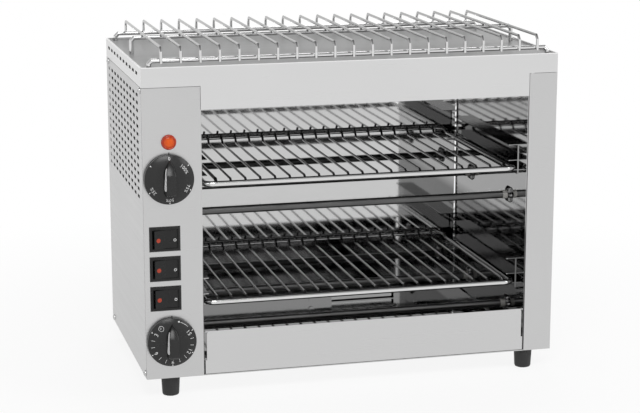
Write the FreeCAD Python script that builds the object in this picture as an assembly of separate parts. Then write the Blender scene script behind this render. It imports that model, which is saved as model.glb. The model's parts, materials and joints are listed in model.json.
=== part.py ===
import FreeCAD, Part
import math
import os

from FreeCAD import Vector

# Clamp toaster with an open front, two wire shelves, six heating elements and a warming rack.
# Millimetres. While it is drawn, x runs right from the middle of the housing, y back from the
# front sheets and z up from the housing's lower edge. The last lines set it on its feet.

# Housing
BODY_WIDTH = 440.0
BODY_DEPTH = 238.0
BODY_HEIGHT = 322.0
SHEET = 0.8
SEAM = 0.4
PANEL_WIDTH = 59.5
PILLAR_WIDTH = 30.3
FRONT_RETURN = 14.0
FRONT_RELIEF = 6.0
REAR_RETURN = 22.0

# Top cap and the plate set into it
CAP_HEIGHT = 20.3
BAND_HEIGHT = 44.3
BAND_RETURN = 9.0
HEM_DEPTH = 5.0
PLATE_DROP = 2.0

# Base pan
PAN_SHEET = 1.0
PAN_WALL = 13.0

# Vent slots in the side covers and in the cap
SLOT_FIRST = 22.0
SLOT_LENGTH = 12.0
SLOT_HEIGHT = 3.3
SLOT_COLUMNS = 10
SLOT_COLUMN_PITCH = 21.0
SLOT_ROWS = 14
SLOT_ROW_PITCH = 8.03
TOP_ROW_DROP = 9.9
CAP_SLOT_DROP = 8.6

# Heating chamber of polished sheet
LINER_SHEET = 0.6
LINER_BEND = 2.0
LINER_TURN = 1.0
CHAMBER_REAR_GAP = 6.0
CHAMBER_CLEARANCE = 0.6
CEILING_GAP = 22.0
CEILING_SLOPE = 15.0
RIDGE_DROP = 7.0

# Shelves: one thick bent rod below, thin wires welded on top
LOWER_SHELF_LEVEL = 72.5
SHELF_TO_ELEMENT_ABOVE = 88.7
FRAME_RADIUS = 3.0
FRAME_FRONT = 18.0
FRAME_REAR_GAP = 24.0
FRAME_CORNER = 9.0
FRAME_CLEARANCE = 2.8
SHELF_WIRES = 21
SHELF_WIRE_RADIUS = 1.25
EDGE_WIRE_RADIUS = 1.75
EDGE_WIRE_CLEARANCE = 5.65
WIRE_DIP_RUN = 5.0
WIRE_BEND_REACH = 6.0
WIRE_SLOPE_RUN = 8.5
WIRE_RISE = 9.0
WELD = 0.25

# Wall guides, each with three ledges
GUIDE_FRONT = 27.0
GUIDE_REAR_GAP = 20.0
GUIDE_SHEET = 0.8
LEDGE_DEPTH = 10.6
MIDDLE_LEDGE_RISE = 10.6
TOP_LEDGE_RISE = 27.3
GUIDE_FOOT = 5.3
SLIDE_CLEARANCE = 0.3

# Crumb tray
TRAY_SHEET = 1.0
TRAY_FRONT_HEIGHT = 47.0
TRAY_FRONT_SIDE_GAP = 3.4
TRAY_TAB_HEIGHT = 16.0
TRAY_CORNER = 3.5
TRAY_FRONT_GAP = 0.5
TRAY_FLOOR_GAP = 1.2
TRAY_WALL = 13.0
TRAY_SIDE_CLEARANCE = 0.9
TRAY_REAR_GAP = 4.0
TRAY_TOP_RETURN = 6.0
TRAY_SLOT_LENGTH = 76.0
TRAY_SLOT_HEIGHT = 8.6
TRAY_SLOT_SHIFT = 59.4
TRAY_SLOT_RISE = 0.6
TRAY_RIVET_RADIUS = 3.0
TRAY_RIVET_HEAD = 1.2
TRAY_RIVET_SHIFT = -3.3
TRAY_RIVET_RISE = 5.8

# Heating elements, three levels of a front and a rear one
ELEMENT_RADIUS = 4.0
ELEMENT_TO_SHELF_ABOVE = 32.9
ELEMENT_TO_UPPER_SHELF = 35.6
ELEMENT_TO_CEILING = 14.0
ELEMENT_FRONT = 52.5
ELEMENT_REAR_GAP = 54.5
CAP_RADIUS = 4.5
CAP_INSIDE = 8.0
CAP_OUTSIDE = 10.0
TERMINAL_RADIUS = 2.0
TERMINAL_LENGTH = 9.0
HOLE_CLEARANCE = 0.15

# Top rack
TOP_WIRES = 21
TOP_WIRE_RADIUS = 1.5
TOP_WIRE_MARGIN = 12.0
TOP_WIRE_HEIGHT = 18.5
TOP_WIRE_INSET = 4.2
TOP_WIRE_FOOT = 3.0
TOP_WIRE_BEND = 4.0
TOP_ROD_RADIUS = 2.25
TOP_ROD_INSET = 9.5
TOP_ROD_HEIGHT = 5.5
TOP_MIDDLE_SHIFT = 2.0
TOP_ROD_BEND = 3.0
PIN_BELOW_PLATE = 4.0
PIN_CLEARANCE = 0.5

# Dials with their shafts, and what they turn
DIAL_INSET = 26.0
POWER_LEVEL = 209.0
TIMER_LEVEL = 39.5
DIAL_RADIUS = 25.3
DIAL_GAP = 1.2
DIAL_RIM = 4.5
DIAL_CROWN = 7.5
DIAL_CROWN_RADIUS = 15.0
DIAL_REACH = 19.0
DIAL_WALL = 2.0
DIAL_HUB_RADIUS = 6.0
DIAL_HUB_GAP = 0.5
DIAL_EDGE = 0.6
GRIP_LENGTH = 46.0
GRIP_WIDTH = 13.5
GRIP_TOP_WIDTH = 9.5
GRIP_POINT = 9.0
SHAFT_RADIUS = 3.0
SHAFT_FIT = 0.06
SOCKET_WALL = 3.0
BUSH_RADIUS = 4.9
BUSH_REACH = 5.0
BLADE_WIDTH = 6.3
BLADE_THICKNESS = 0.8
BLADE_LENGTH = 9.0
BLADE_ROOT = 1.0
NUT_FLATS = 14.0
NUT_HEIGHT = 2.2
REGULATOR_WIDTH = 40.0
REGULATOR_DEPTH = 30.0
REGULATOR_HEIGHT = 44.0
TIMER_RADIUS = 22.0
TIMER_DEPTH = 34.0
TIMER_PLATE = 1.5

# Indicator lamp
LAMP_INSET = 26.8
LAMP_LEVEL = 246.3
LAMP_RADIUS = 8.3
LAMP_RIM = 2.0
LAMP_RIM_WALL = 1.1
LAMP_EDGE = 0.3
LAMP_BARREL_RADIUS = 6.3
LAMP_BARREL_WALL = 1.2
LAMP_BARREL_DEPTH = 15.0
LENS_CROWN = 1.8
LENS_SHOULDER = 0.4
LENS_SHOULDER_RADIUS = 3.9
LENS_STEM = 8.0
LAMP_BODY_RADIUS = 5.9
LAMP_BODY_DEPTH = 12.0

# Rocker switches
SWITCH_INSET = 21.2
SWITCH_TOP_LEVEL = 147.1
SWITCH_PITCH = 31.1
SWITCH_COUNT = 3
BEZEL_WIDTH = 32.0
BEZEL_HEIGHT = 26.0
BEZEL_RIM = 1.8
SWITCH_BODY_WIDTH = 29.6
SWITCH_BODY_HEIGHT = 21.8
SWITCH_BODY_DEPTH = 20.0
SWITCH_CLEARANCE = 0.2
ROCKER_HALF_WIDTH = 12.2
ROCKER_HALF_HEIGHT = 9.4
ROCKER_SIDE_CLEARANCE = 1.0
ROCKER_END_CLEARANCE = 0.3
ROCKER_PROUD = 2.2
ROCKER_DISH = 1.6
ROCKER_PIVOT = 3.0
ROCKER_TILT = 8.0
ROCKER_PIN_RADIUS = 1.5
ROCKER_PIN_LENGTH = 0.8
ROCKER_POCKET_DEPTH = 10.3

# Mains entry
GLAND_INSET = 30.0
GLAND_LEVEL = 34.0
GLAND_BORE = 4.5
GLAND_THREAD = 6.2
GLAND_FLATS = 18.0
GLAND_REACH = 11.0
GLAND_FLANGE = 4.0
GLAND_NOSE_STEP = 0.5
GLAND_TAPER = 2.5
GLAND_TAPER_LENGTH = 3.0
GLAND_INSIDE = 9.0
GLAND_NUT = 4.0
BLOCK_LENGTH = 44.0
BLOCK_DEPTH = 20.0
BLOCK_HEIGHT = 18.0
BLOCK_BASE = 12.6
BLOCK_POLES = 3
BLOCK_WALL = 1.6

# Feet and screws
FOOT_HEIGHT = 21.0
FOOT_TOP_RADIUS = 9.75
FOOT_BOTTOM_RADIUS = 8.75
FOOT_ROUND = 2.0
FOOT_INSET_X = 26.5
FOOT_INSET_Y = 12.0
FOOT_RECESS_RADIUS = 4.5
FOOT_RECESS_DEPTH = 12.0
FOOT_NUT_FLATS = 7.0
FOOT_NUT = 2.8
SCREW_RADIUS = 1.75
SCREW_HEAD_RADIUS = 3.3
SCREW_HEAD = 1.8
SCREW_LENGTH = 7.0
SCREW_REAR_LENGTH = 4.0
SCREW_INSET_Y = 9.0
SCREW_REAR_INSET_Y = 13.0
SCREW_INSET_TOP = 24.0
SCREW_INSET_BOTTOM = 4.5
SCREW_REAR_INSET_X = 40.0

# Worked out from the sizes above
HALF_WIDTH = BODY_WIDTH / 2
INNER_HALF = HALF_WIDTH - SHEET
OPEN_LEFT = PANEL_WIDTH - HALF_WIDTH
OPEN_RIGHT = HALF_WIDTH - PILLAR_WIDTH
MIDDLE = (OPEN_LEFT + OPEN_RIGHT) / 2
OPEN_HALF = (OPEN_RIGHT - OPEN_LEFT) / 2
CHAMBER_HALF = OPEN_HALF - LINER_SHEET - SLIDE_CLEARANCE
CHAMBER_DEPTH = BODY_DEPTH - CHAMBER_REAR_GAP
CORNER_FRONT = CHAMBER_DEPTH - LINER_BEND - LINER_TURN
CEILING_HEIGHT = BODY_HEIGHT - CEILING_GAP
CAP_BOTTOM = BODY_HEIGHT - CAP_HEIGHT
BAND_BOTTOM = BODY_HEIGHT - BAND_HEIGHT
FRONT_TOP = CAP_BOTTOM - SEAM
PLATE_TOP = BODY_HEIGHT - PLATE_DROP
LINER_BOTTOM = PAN_SHEET + SLIDE_CLEARANCE
UPPER_ELEMENT_LEVEL = CEILING_HEIGHT - ELEMENT_TO_CEILING
UPPER_SHELF_LEVEL = UPPER_ELEMENT_LEVEL - SHELF_TO_ELEMENT_ABOVE
SHELF_LEVELS = {"lower": LOWER_SHELF_LEVEL, "upper": UPPER_SHELF_LEVEL}
ELEMENT_LEVELS = {
    "lower": LOWER_SHELF_LEVEL - ELEMENT_TO_SHELF_ABOVE,
    "middle": UPPER_SHELF_LEVEL - ELEMENT_TO_UPPER_SHELF,
    "upper": UPPER_ELEMENT_LEVEL,
}
ELEMENT_ROWS = {"front": ELEMENT_FRONT, "rear": CHAMBER_DEPTH - ELEMENT_REAR_GAP}
FRAME_HALF_WIDTH = CHAMBER_HALF - GUIDE_SHEET - FRAME_CLEARANCE - FRAME_RADIUS
FRAME_REAR = CHAMBER_DEPTH - FRAME_REAR_GAP
EDGE_WIRE_HALF = CHAMBER_HALF - LEDGE_DEPTH - EDGE_WIRE_CLEARANCE - EDGE_WIRE_RADIUS
WIRE_BEND = FRAME_REAR + WIRE_BEND_REACH
WIRE_END = WIRE_BEND + WIRE_SLOPE_RUN
TRAY_HALF = CHAMBER_HALF - TRAY_SIDE_CLEARANCE
TRAY_FRONT_HALF = OPEN_HALF - TRAY_FRONT_SIDE_GAP
TOP_ROD_HALF = HALF_WIDTH - TOP_ROD_INSET
TOP_WIRE_HALF = TOP_ROD_HALF - TOP_WIRE_MARGIN
CAP_HOLE = CAP_RADIUS + HOLE_CLEARANCE
DIAL_X = DIAL_INSET - HALF_WIDTH
LAMP_X = LAMP_INSET - HALF_WIDTH
SWITCH_X = SWITCH_INSET - HALF_WIDTH
GLAND_X = GLAND_INSET - HALF_WIDTH
MIDDLE_Y = (BODY_DEPTH + GLAND_REACH - DIAL_REACH) / 2


def box(x0, x1, y0, y1, z0, z1):
    return Part.makeBox(x1 - x0, y1 - y0, z1 - z0, Vector(x0, y0, z0))


def cylinder(radius, start, end):
    """Round bar from one point to another."""
    run = end - start
    return Part.makeCylinder(radius, run.Length, start, run)


def slab(outline, sweep):
    """A flat outline pushed along a vector."""
    return Part.Face(Part.makePolygon(outline + outline[:1])).extrude(sweep)


def turned(profile, x, z):
    """A profile of (radius, y) points turned about the front-to-back line through x and z."""
    points = [Vector(x + radius, y, z) for radius, y in profile]
    face = Part.Face(Part.makePolygon(points + points[:1]))
    return face.revolve(Vector(x, 0, z), Vector(0, 1, 0), 360)


def hexagon(flats, x, z):
    radius = flats / math.sqrt(3)
    corners = []
    for step in range(6):
        angle = math.radians(60 * step)
        corners.append(Vector(x + radius * math.cos(angle), 0, z + radius * math.sin(angle)))
    return corners


def hex_nut(flats, bore, x, z, y0, y1):
    nut = slab(hexagon(flats, x, z), Vector(0, y1 - y0, 0))
    nut.translate(Vector(0, y0, 0))
    return nut.cut(cylinder(bore, Vector(x, y0, z), Vector(x, y1, z)))


def joined(pieces):
    """One solid from pieces that meet."""
    return pieces[0].multiFuse(pieces[1:]).removeSplitter()


def rod(points, radius):
    """A round rod along straight runs, mitred where they meet."""
    path = Part.makePolygon(points)
    section = Part.Wire(Part.makeCircle(radius, points[0], points[1] - points[0]))
    return Part.Wire(path).makePipeShell([section], True, False, 1)


def eased(before, corner, after, length):
    """Two points that cut a corner off, so that a small bend is one short run."""
    back = (before - corner).normalize()
    ahead = (after - corner).normalize()
    return [corner + back * length, corner + ahead * length]


def folded_sheet(points, thickness):
    """Corners of a folded sheet from its face line, made thick to the left of its direction.

    The points are (a, b) pairs, and so is what comes back.
    """
    offset = []
    for i, (a, b) in enumerate(points):
        directions = []
        if i > 0:
            directions.append(math.atan2(b - points[i - 1][1], a - points[i - 1][0]))
        if i < len(points) - 1:
            directions.append(math.atan2(points[i + 1][1] - b, points[i + 1][0] - a))
        half_turn = (directions[-1] - directions[0]) / 2
        normal = directions[0] + half_turn + math.pi / 2
        reach = thickness / math.cos(half_turn)
        offset.append((a + reach * math.cos(normal), b + reach * math.sin(normal)))
    return points + offset[::-1]


# Positions that several pieces share

def slot_columns():
    return [SLOT_FIRST + SLOT_COLUMN_PITCH * i for i in range(SLOT_COLUMNS)]


def foot_places():
    rows = (("front", FOOT_INSET_Y), ("rear", BODY_DEPTH - FOOT_INSET_Y))
    for row, y in rows:
        for side, sign in (("left", -1), ("right", 1)):
            yield row + "_" + side, sign * (HALF_WIDTH - FOOT_INSET_X), y


def side_screw_places():
    for y in (SCREW_INSET_Y, BODY_DEPTH - SCREW_REAR_INSET_Y):
        for z in (SCREW_INSET_BOTTOM, BODY_HEIGHT - SCREW_INSET_TOP):
            yield y, z


def rear_screw_places():
    for sign in (-1, 1):
        for z in (SCREW_INSET_BOTTOM + PAN_SHEET, BODY_HEIGHT - SCREW_INSET_TOP):
            yield sign * (HALF_WIDTH - SCREW_REAR_INSET_X), z


def switch_levels():
    return [SWITCH_TOP_LEVEL - SWITCH_PITCH * i for i in range(SWITCH_COUNT)]


def pin_places():
    near = TOP_WIRE_INSET + TOP_WIRE_RADIUS + TOP_ROD_RADIUS - WELD
    for sign in (-1, 1):
        for y in (near, BODY_DEPTH - near):
            yield sign * TOP_ROD_HALF, y


def element_places():
    for level, z in ELEMENT_LEVELS.items():
        for row, y in ELEMENT_ROWS.items():
            yield level + "_" + row, y, z


# Housing

def base_pan():
    back = BODY_DEPTH - SHEET
    floor = box(-INNER_HALF, INNER_HALF, SHEET, back, 0, PAN_SHEET)
    tongue = box(OPEN_LEFT + SEAM, OPEN_RIGHT - SEAM, 0, SHEET, 0, PAN_SHEET)
    side_front = SHEET + FRONT_RETURN + SEAM
    side_back = back - REAR_RETURN - SEAM
    left = box(-INNER_HALF, PAN_SHEET - INNER_HALF, side_front, side_back, 0, PAN_WALL)
    right = box(INNER_HALF - PAN_SHEET, INNER_HALF, side_front, side_back, 0, PAN_WALL)
    rear_half = INNER_HALF - SHEET - SEAM
    rear = box(-rear_half, rear_half, back - PAN_SHEET, back, 0, PAN_WALL)
    pan = joined([floor, tongue, left, right, rear])
    holes = []
    for _, x, y in foot_places():
        holes.append(cylinder(SCREW_RADIUS + HOLE_CLEARANCE, Vector(x, y, 0), Vector(x, y, PAN_SHEET)))
    for x, z in rear_screw_places():
        if z < PAN_WALL:
            holes.append(rear_screw_hole(x, z, back - PAN_SHEET, back))
    return pan.cut(holes)


def rear_screw_hole(x, z, y0, y1):
    return cylinder(SCREW_RADIUS + HOLE_CLEARANCE, Vector(x, y0, z), Vector(x, y1, z))


def front_strip(outer, inner):
    """A front sheet with a return along the side cover and one along the opening."""
    sign = 1 if inner > outer else -1
    face = box(min(outer, inner), max(outer, inner), 0, SHEET, 0, FRONT_TOP)
    at_cover = outer + sign * SHEET
    cover_return = sorted((at_cover, at_cover + sign * SHEET))
    opening_return = sorted((inner - sign * SHEET, inner))
    back = SHEET + FRONT_RETURN
    at_side = box(*cover_return, SHEET, back, PAN_SHEET, FRONT_TOP)
    at_opening = box(*opening_return, SHEET, back, PAN_SHEET + FRONT_RELIEF, FRONT_TOP)
    strip = joined([face, at_side, at_opening])
    radius = SCREW_RADIUS + HOLE_CLEARANCE
    holes = []
    for y, z in side_screw_places():
        if y < back:
            holes.append(cylinder(radius, Vector(cover_return[0], y, z), Vector(cover_return[1], y, z)))
    return strip.cut(holes)


def control_panel():
    panel = front_strip(-HALF_WIDTH, OPEN_LEFT)
    back = Vector(0, SHEET, 0)
    holes = []
    for level in (POWER_LEVEL, TIMER_LEVEL):
        centre = Vector(DIAL_X, 0, level)
        holes.append(cylinder(BUSH_RADIUS + HOLE_CLEARANCE, centre, centre + back))
    lamp = Vector(LAMP_X, 0, LAMP_LEVEL)
    holes.append(cylinder(LAMP_BARREL_RADIUS + HOLE_CLEARANCE, lamp, lamp + back))
    half_width = SWITCH_BODY_WIDTH / 2 + SWITCH_CLEARANCE
    half_height = SWITCH_BODY_HEIGHT / 2 + SWITCH_CLEARANCE
    for level in switch_levels():
        holes.append(
            box(
                SWITCH_X - half_width,
                SWITCH_X + half_width,
                0,
                SHEET,
                level - half_height,
                level + half_height,
            )
        )
    return panel.cut(holes)


def right_pillar():
    return front_strip(HALF_WIDTH, OPEN_RIGHT)


def side_cover(sign):
    """Flat side sheet with its block of vent slots and four screw holes."""
    x0, x1 = sorted((sign * INNER_HALF, sign * HALF_WIDTH))
    sheet = box(x0, x1, SHEET, BODY_DEPTH, 0, FRONT_TOP)
    holes = []
    top_row = FRONT_TOP - TOP_ROW_DROP
    for row in range(SLOT_ROWS):
        z = top_row - SLOT_ROW_PITCH * row
        for y in slot_columns():
            holes.append(box(x0, x1, y, y + SLOT_LENGTH, z - SLOT_HEIGHT / 2, z + SLOT_HEIGHT / 2))
    for y, z in side_screw_places():
        holes.append(cylinder(SCREW_RADIUS + HOLE_CLEARANCE, Vector(x0, y, z), Vector(x1, y, z)))
    return sheet.cut(holes)


def rear_cover():
    inside = BODY_DEPTH - SHEET
    sheet = box(-INNER_HALF, INNER_HALF, inside, BODY_DEPTH, 0, FRONT_TOP)
    pieces = [sheet]
    for sign in (-1, 1):
        x0, x1 = sorted((sign * INNER_HALF, sign * (INNER_HALF - SHEET)))
        pieces.append(box(x0, x1, inside - REAR_RETURN, inside, PAN_SHEET, FRONT_TOP))
    cover = joined(pieces)
    gland = Vector(GLAND_X, inside, GLAND_LEVEL)
    holes = [cylinder(GLAND_THREAD + HOLE_CLEARANCE, gland, gland + Vector(0, SHEET, 0))]
    for x, z in rear_screw_places():
        holes.append(rear_screw_hole(x, z, inside, BODY_DEPTH))
    radius = SCREW_RADIUS + HOLE_CLEARANCE
    for y, z in side_screw_places():
        if y > inside - REAR_RETURN:
            for sign in (-1, 1):
                start = Vector(sign * (INNER_HALF - SHEET), y, z)
                holes.append(cylinder(radius, start, start + Vector(sign * SHEET, 0, 0)))
    return cover.cut(holes)


def ring(outer_half, front, back, wall, z0, z1):
    """Four walls round the housing."""
    whole = box(-outer_half, outer_half, front, back, z0, z1)
    core = box(wall - outer_half, outer_half - wall, front + wall, back - wall, z0, z1)
    return whole.cut(core)


def top_cap():
    """Front band, side and rear walls and the hem round the top."""
    walls = ring(HALF_WIDTH, 0, BODY_DEPTH, SHEET, CAP_BOTTOM, BODY_HEIGHT)
    hem = ring(INNER_HALF, SHEET, BODY_DEPTH - SHEET, SHEET, BODY_HEIGHT - HEM_DEPTH, BODY_HEIGHT)
    band = box(OPEN_LEFT + SEAM, OPEN_RIGHT - SEAM, 0, SHEET, BAND_BOTTOM, CAP_BOTTOM)
    lip = box(
        MIDDLE - CHAMBER_HALF,
        MIDDLE + CHAMBER_HALF,
        SHEET,
        SHEET + BAND_RETURN,
        BAND_BOTTOM,
        BAND_BOTTOM + SHEET,
    )
    cap = joined([walls, hem, band, lip])
    z = BODY_HEIGHT - CAP_SLOT_DROP
    holes = []
    for y in slot_columns():
        for x0, x1 in ((-HALF_WIDTH, -INNER_HALF), (INNER_HALF, HALF_WIDTH)):
            holes.append(box(x0, x1, y, y + SLOT_LENGTH, z - SLOT_HEIGHT / 2, z + SLOT_HEIGHT / 2))
    return cap.cut(holes)


def top_plate():
    """Plate inside the hem, its edges turned down, with holes for the rack's pins."""
    half = INNER_HALF - SHEET
    front = 2 * SHEET
    back = BODY_DEPTH - 2 * SHEET
    plate = box(-half, half, front, back, PLATE_TOP - SHEET, PLATE_TOP)
    edge = ring(half, front, back, SHEET, BODY_HEIGHT - HEM_DEPTH, PLATE_TOP)
    plate = joined([plate, edge])
    holes = []
    for x, y in pin_places():
        start = Vector(x, y, PLATE_TOP - SHEET)
        holes.append(cylinder(TOP_ROD_RADIUS + PIN_CLEARANCE, start, start + Vector(0, 0, SHEET)))
    return plate.cut(holes)


# Heating chamber

def liner_side(sign):
    """Polished wall with holes for the elements' ceramic caps."""
    inner = MIDDLE + sign * CHAMBER_HALF
    outward = Vector(sign * LINER_SHEET, 0, 0)
    x0, x1 = sorted((inner, inner + outward.x))
    front = SHEET + CHAMBER_CLEARANCE
    wall = box(x0, x1, front, CORNER_FRONT - SEAM, LINER_BOTTOM, CEILING_HEIGHT)
    holes = []
    for _, y, z in element_places():
        start = Vector(inner, y, z)
        holes.append(cylinder(CAP_HOLE, start, start + outward))
    return wall.cut(holes)


def liner_back():
    """Polished back wall, bent forward at both sides to meet the side walls."""
    return rear_bent(LINER_SHEET).cut(rear_bent(0))


def rear_bent(sheet):
    """The chamber's rear end grown by a sheet, its two upright corners round."""
    half = CHAMBER_HALF + sheet
    back = CHAMBER_DEPTH + sheet
    block = box(MIDDLE - half, MIDDLE + half, CORNER_FRONT, back, LINER_BOTTOM, CEILING_HEIGHT)
    corners = []
    for edge in block.Edges:
        upright = edge.BoundBox.ZLength > LINER_SHEET
        if upright and edge.CenterOfMass.y > CHAMBER_DEPTH - LINER_BEND:
            corners.append(edge)
    return block.makeFillet(LINER_BEND + sheet, corners)


def ceiling_reflector():
    """Folded sheet over the chamber, with a trough above each upper element."""
    front = ELEMENT_ROWS["front"]
    rear = ELEMENT_ROWS["rear"]
    top = CEILING_HEIGHT - LINER_SHEET
    edge = SHEET + BAND_RETURN
    trough = front - edge - CEILING_SLOPE
    line = [
        (edge, BAND_BOTTOM + SHEET),
        (edge, top - CEILING_SLOPE),
        (edge + CEILING_SLOPE, top),
        (front + trough, top),
        ((front + rear) / 2, top - RIDGE_DROP),
        (rear - trough, top),
        (rear + trough, top),
        (CORNER_FRONT, top - CEILING_SLOPE),
    ]
    outline = [Vector(MIDDLE - CHAMBER_HALF, y, z) for y, z in folded_sheet(line, LINER_SHEET)]
    return slab(outline, Vector(2 * CHAMBER_HALF, 0, 0))


def guide(sign, level):
    """Strip on the chamber wall with three ledges; the shelf rides on the lowest."""
    base = SHELF_LEVELS[level] - FRAME_RADIUS - SLIDE_CLEARANCE
    profile = [(0.0, base - GUIDE_FOOT), (0.0, base + TOP_LEDGE_RISE)]
    for top in (base + TOP_LEDGE_RISE, base + MIDDLE_LEDGE_RISE, base):
        if top < base + TOP_LEDGE_RISE:
            profile.append((GUIDE_SHEET, top))
        profile.append((LEDGE_DEPTH, top))
        profile.append((LEDGE_DEPTH, top - GUIDE_SHEET))
        profile.append((GUIDE_SHEET, top - GUIDE_SHEET))
    profile.append((GUIDE_SHEET, base - GUIDE_FOOT))
    wall = MIDDLE + sign * CHAMBER_HALF
    outline = [Vector(wall - sign * reach, GUIDE_FRONT, z) for reach, z in profile]
    return slab(outline, Vector(0, CHAMBER_DEPTH - GUIDE_REAR_GAP - GUIDE_FRONT, 0))


def element(y, z):
    """Sheathed heating element between its two ceramic caps."""
    half = CHAMBER_HALF - CAP_INSIDE
    return cylinder(ELEMENT_RADIUS, Vector(MIDDLE - half, y, z), Vector(MIDDLE + half, y, z))


def ceramic_caps(sign):
    """The caps of one side, each through the wall with its terminal stud behind."""
    caps = []
    for _, y, z in element_places():
        inner = MIDDLE + sign * (CHAMBER_HALF - CAP_INSIDE)
        outer = MIDDLE + sign * (CHAMBER_HALF + LINER_SHEET + CAP_OUTSIDE)
        cap = cylinder(CAP_RADIUS, Vector(inner, y, z), Vector(outer, y, z))
        tip = outer + sign * TERMINAL_LENGTH
        stud = cylinder(TERMINAL_RADIUS, Vector(outer, y, z), Vector(tip, y, z))
        caps.append(cap.fuse(stud))
    return Part.makeCompound(caps)


# Shelves and rack

def shelf(level):
    """Bent rod that rides on the ledges, with thin wires that turn up at the rear."""
    z = SHELF_LEVELS[level]
    wire_z = z + FRAME_RADIUS + SHELF_WIRE_RADIUS - WELD
    edge_z = z + FRAME_RADIUS + EDGE_WIRE_RADIUS - WELD
    pieces = [shelf_frame(z)]
    half = EDGE_WIRE_HALF
    pitch = 2 * half / (SHELF_WIRES - 1)
    for i in range(1, SHELF_WIRES - 1):
        x = MIDDLE - half + pitch * i
        route = sunk_end(x, z, SHELF_WIRE_RADIUS, wire_z)
        route.append(Vector(x, WIRE_BEND, wire_z))
        route.append(Vector(x, WIRE_END, wire_z + WIRE_RISE))
        pieces.append(rod(route, SHELF_WIRE_RADIUS))
    # the rear rail lies behind the sloping ends and is one rod with the two edge wires
    lean = math.atan(WIRE_RISE / WIRE_SLOPE_RUN)
    apart = SHELF_WIRE_RADIUS + EDGE_WIRE_RADIUS - WELD
    rail_z = wire_z + WIRE_RISE - apart / math.cos(lean)
    runs = []
    for x in (MIDDLE - half, MIDDLE + half):
        bend = Vector(x, WIRE_BEND, edge_z)
        corner = Vector(x, WIRE_END, rail_z)
        other = Vector(MIDDLE, WIRE_END, rail_z)
        cut = eased(bend, corner, other, 2 * EDGE_WIRE_RADIUS)
        runs.append(sunk_end(x, z, EDGE_WIRE_RADIUS, edge_z) + [bend] + cut)
    pieces.append(rod(runs[0] + runs[1][::-1], EDGE_WIRE_RADIUS))
    return Part.makeCompound(pieces)


def sunk_end(x, z, radius, level):
    """Front end of a wire, dipped into the rail, and where the wire comes level behind it."""
    inside = z + FRAME_RADIUS - radius - 2 * WELD
    return [Vector(x, FRAME_FRONT, inside), Vector(x, FRAME_FRONT + WIRE_DIP_RUN, level)]


def shelf_frame(z):
    """Front rail with its arms along the ledges, their ends turned in under the edge wires."""
    end = EDGE_WIRE_HALF - EDGE_WIRE_RADIUS
    corners = [
        frame_corner(-1, FRAME_REAR, -1, z),
        frame_corner(-1, FRAME_FRONT, 1, z)[::-1],
        frame_corner(1, FRAME_FRONT, 1, z),
        frame_corner(1, FRAME_REAR, -1, z)[::-1],
    ]
    edges = []
    last = Vector(MIDDLE - end, FRAME_REAR, z)
    section = Part.Wire(Part.makeCircle(FRAME_RADIUS, last, Vector(-1, 0, 0)))
    for corner in corners:
        edges.append(Part.makeLine(last, corner[0]))
        edges.append(Part.Arc(*corner).toShape())
        last = corner[-1]
    edges.append(Part.makeLine(last, Vector(MIDDLE + end, FRAME_REAR, z)))
    return Part.Wire(edges).makePipeShell([section], True, False, 0)


def frame_corner(sign, y, inward, z):
    """Quarter bend at one corner, as three points from the cross run to the arm."""
    side = MIDDLE + sign * FRAME_HALF_WIDTH
    mid = FRAME_CORNER * (1 - math.sqrt(0.5))
    return [
        Vector(side - sign * FRAME_CORNER, y, z),
        Vector(side - sign * mid, y + inward * mid, z),
        Vector(side, y + inward * FRAME_CORNER, z),
    ]


def top_rack():
    """Inverted wires welded to three rods; the outer rods' ends drop into the plate."""
    wire_z = BODY_HEIGHT + TOP_WIRE_HEIGHT
    foot_z = BODY_HEIGHT + TOP_WIRE_FOOT
    front = TOP_WIRE_INSET
    back = BODY_DEPTH - TOP_WIRE_INSET
    pieces = []
    pitch = 2 * TOP_WIRE_HALF / (TOP_WIRES - 1)
    for i in range(TOP_WIRES):
        x = pitch * i - TOP_WIRE_HALF
        feet = [Vector(x, front, foot_z), Vector(x, back, foot_z)]
        tops = [Vector(x, front, wire_z), Vector(x, back, wire_z)]
        first = eased(feet[0], tops[0], tops[1], TOP_WIRE_BEND)
        second = eased(tops[0], tops[1], feet[1], TOP_WIRE_BEND)
        pieces.append(rod([feet[0]] + first + second + [feet[1]], TOP_WIRE_RADIUS))
    rod_z = BODY_HEIGHT + TOP_ROD_HEIGHT
    for y in sorted({y for _, y in pin_places()}):
        pieces.append(bridge(y, rod_z, PLATE_TOP - PIN_BELOW_PLATE))
    under = wire_z - TOP_WIRE_RADIUS - TOP_ROD_RADIUS + WELD
    pieces.append(bridge(BODY_DEPTH / 2 - TOP_MIDDLE_SHIFT, under, PLATE_TOP + SLIDE_CLEARANCE))
    return Part.makeCompound(pieces)


def bridge(y, z, end_z):
    """A rod across the rack with both ends turned down."""
    half = TOP_ROD_HALF
    left = [Vector(-half, y, end_z), Vector(-half, y, z)]
    right = [Vector(half, y, z), Vector(half, y, end_z)]
    first = eased(left[0], left[1], right[0], TOP_ROD_BEND)
    second = eased(left[1], right[0], right[1], TOP_ROD_BEND)
    return rod([left[0]] + first + second + [right[1]], TOP_ROD_RADIUS)


# Crumb tray

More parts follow.
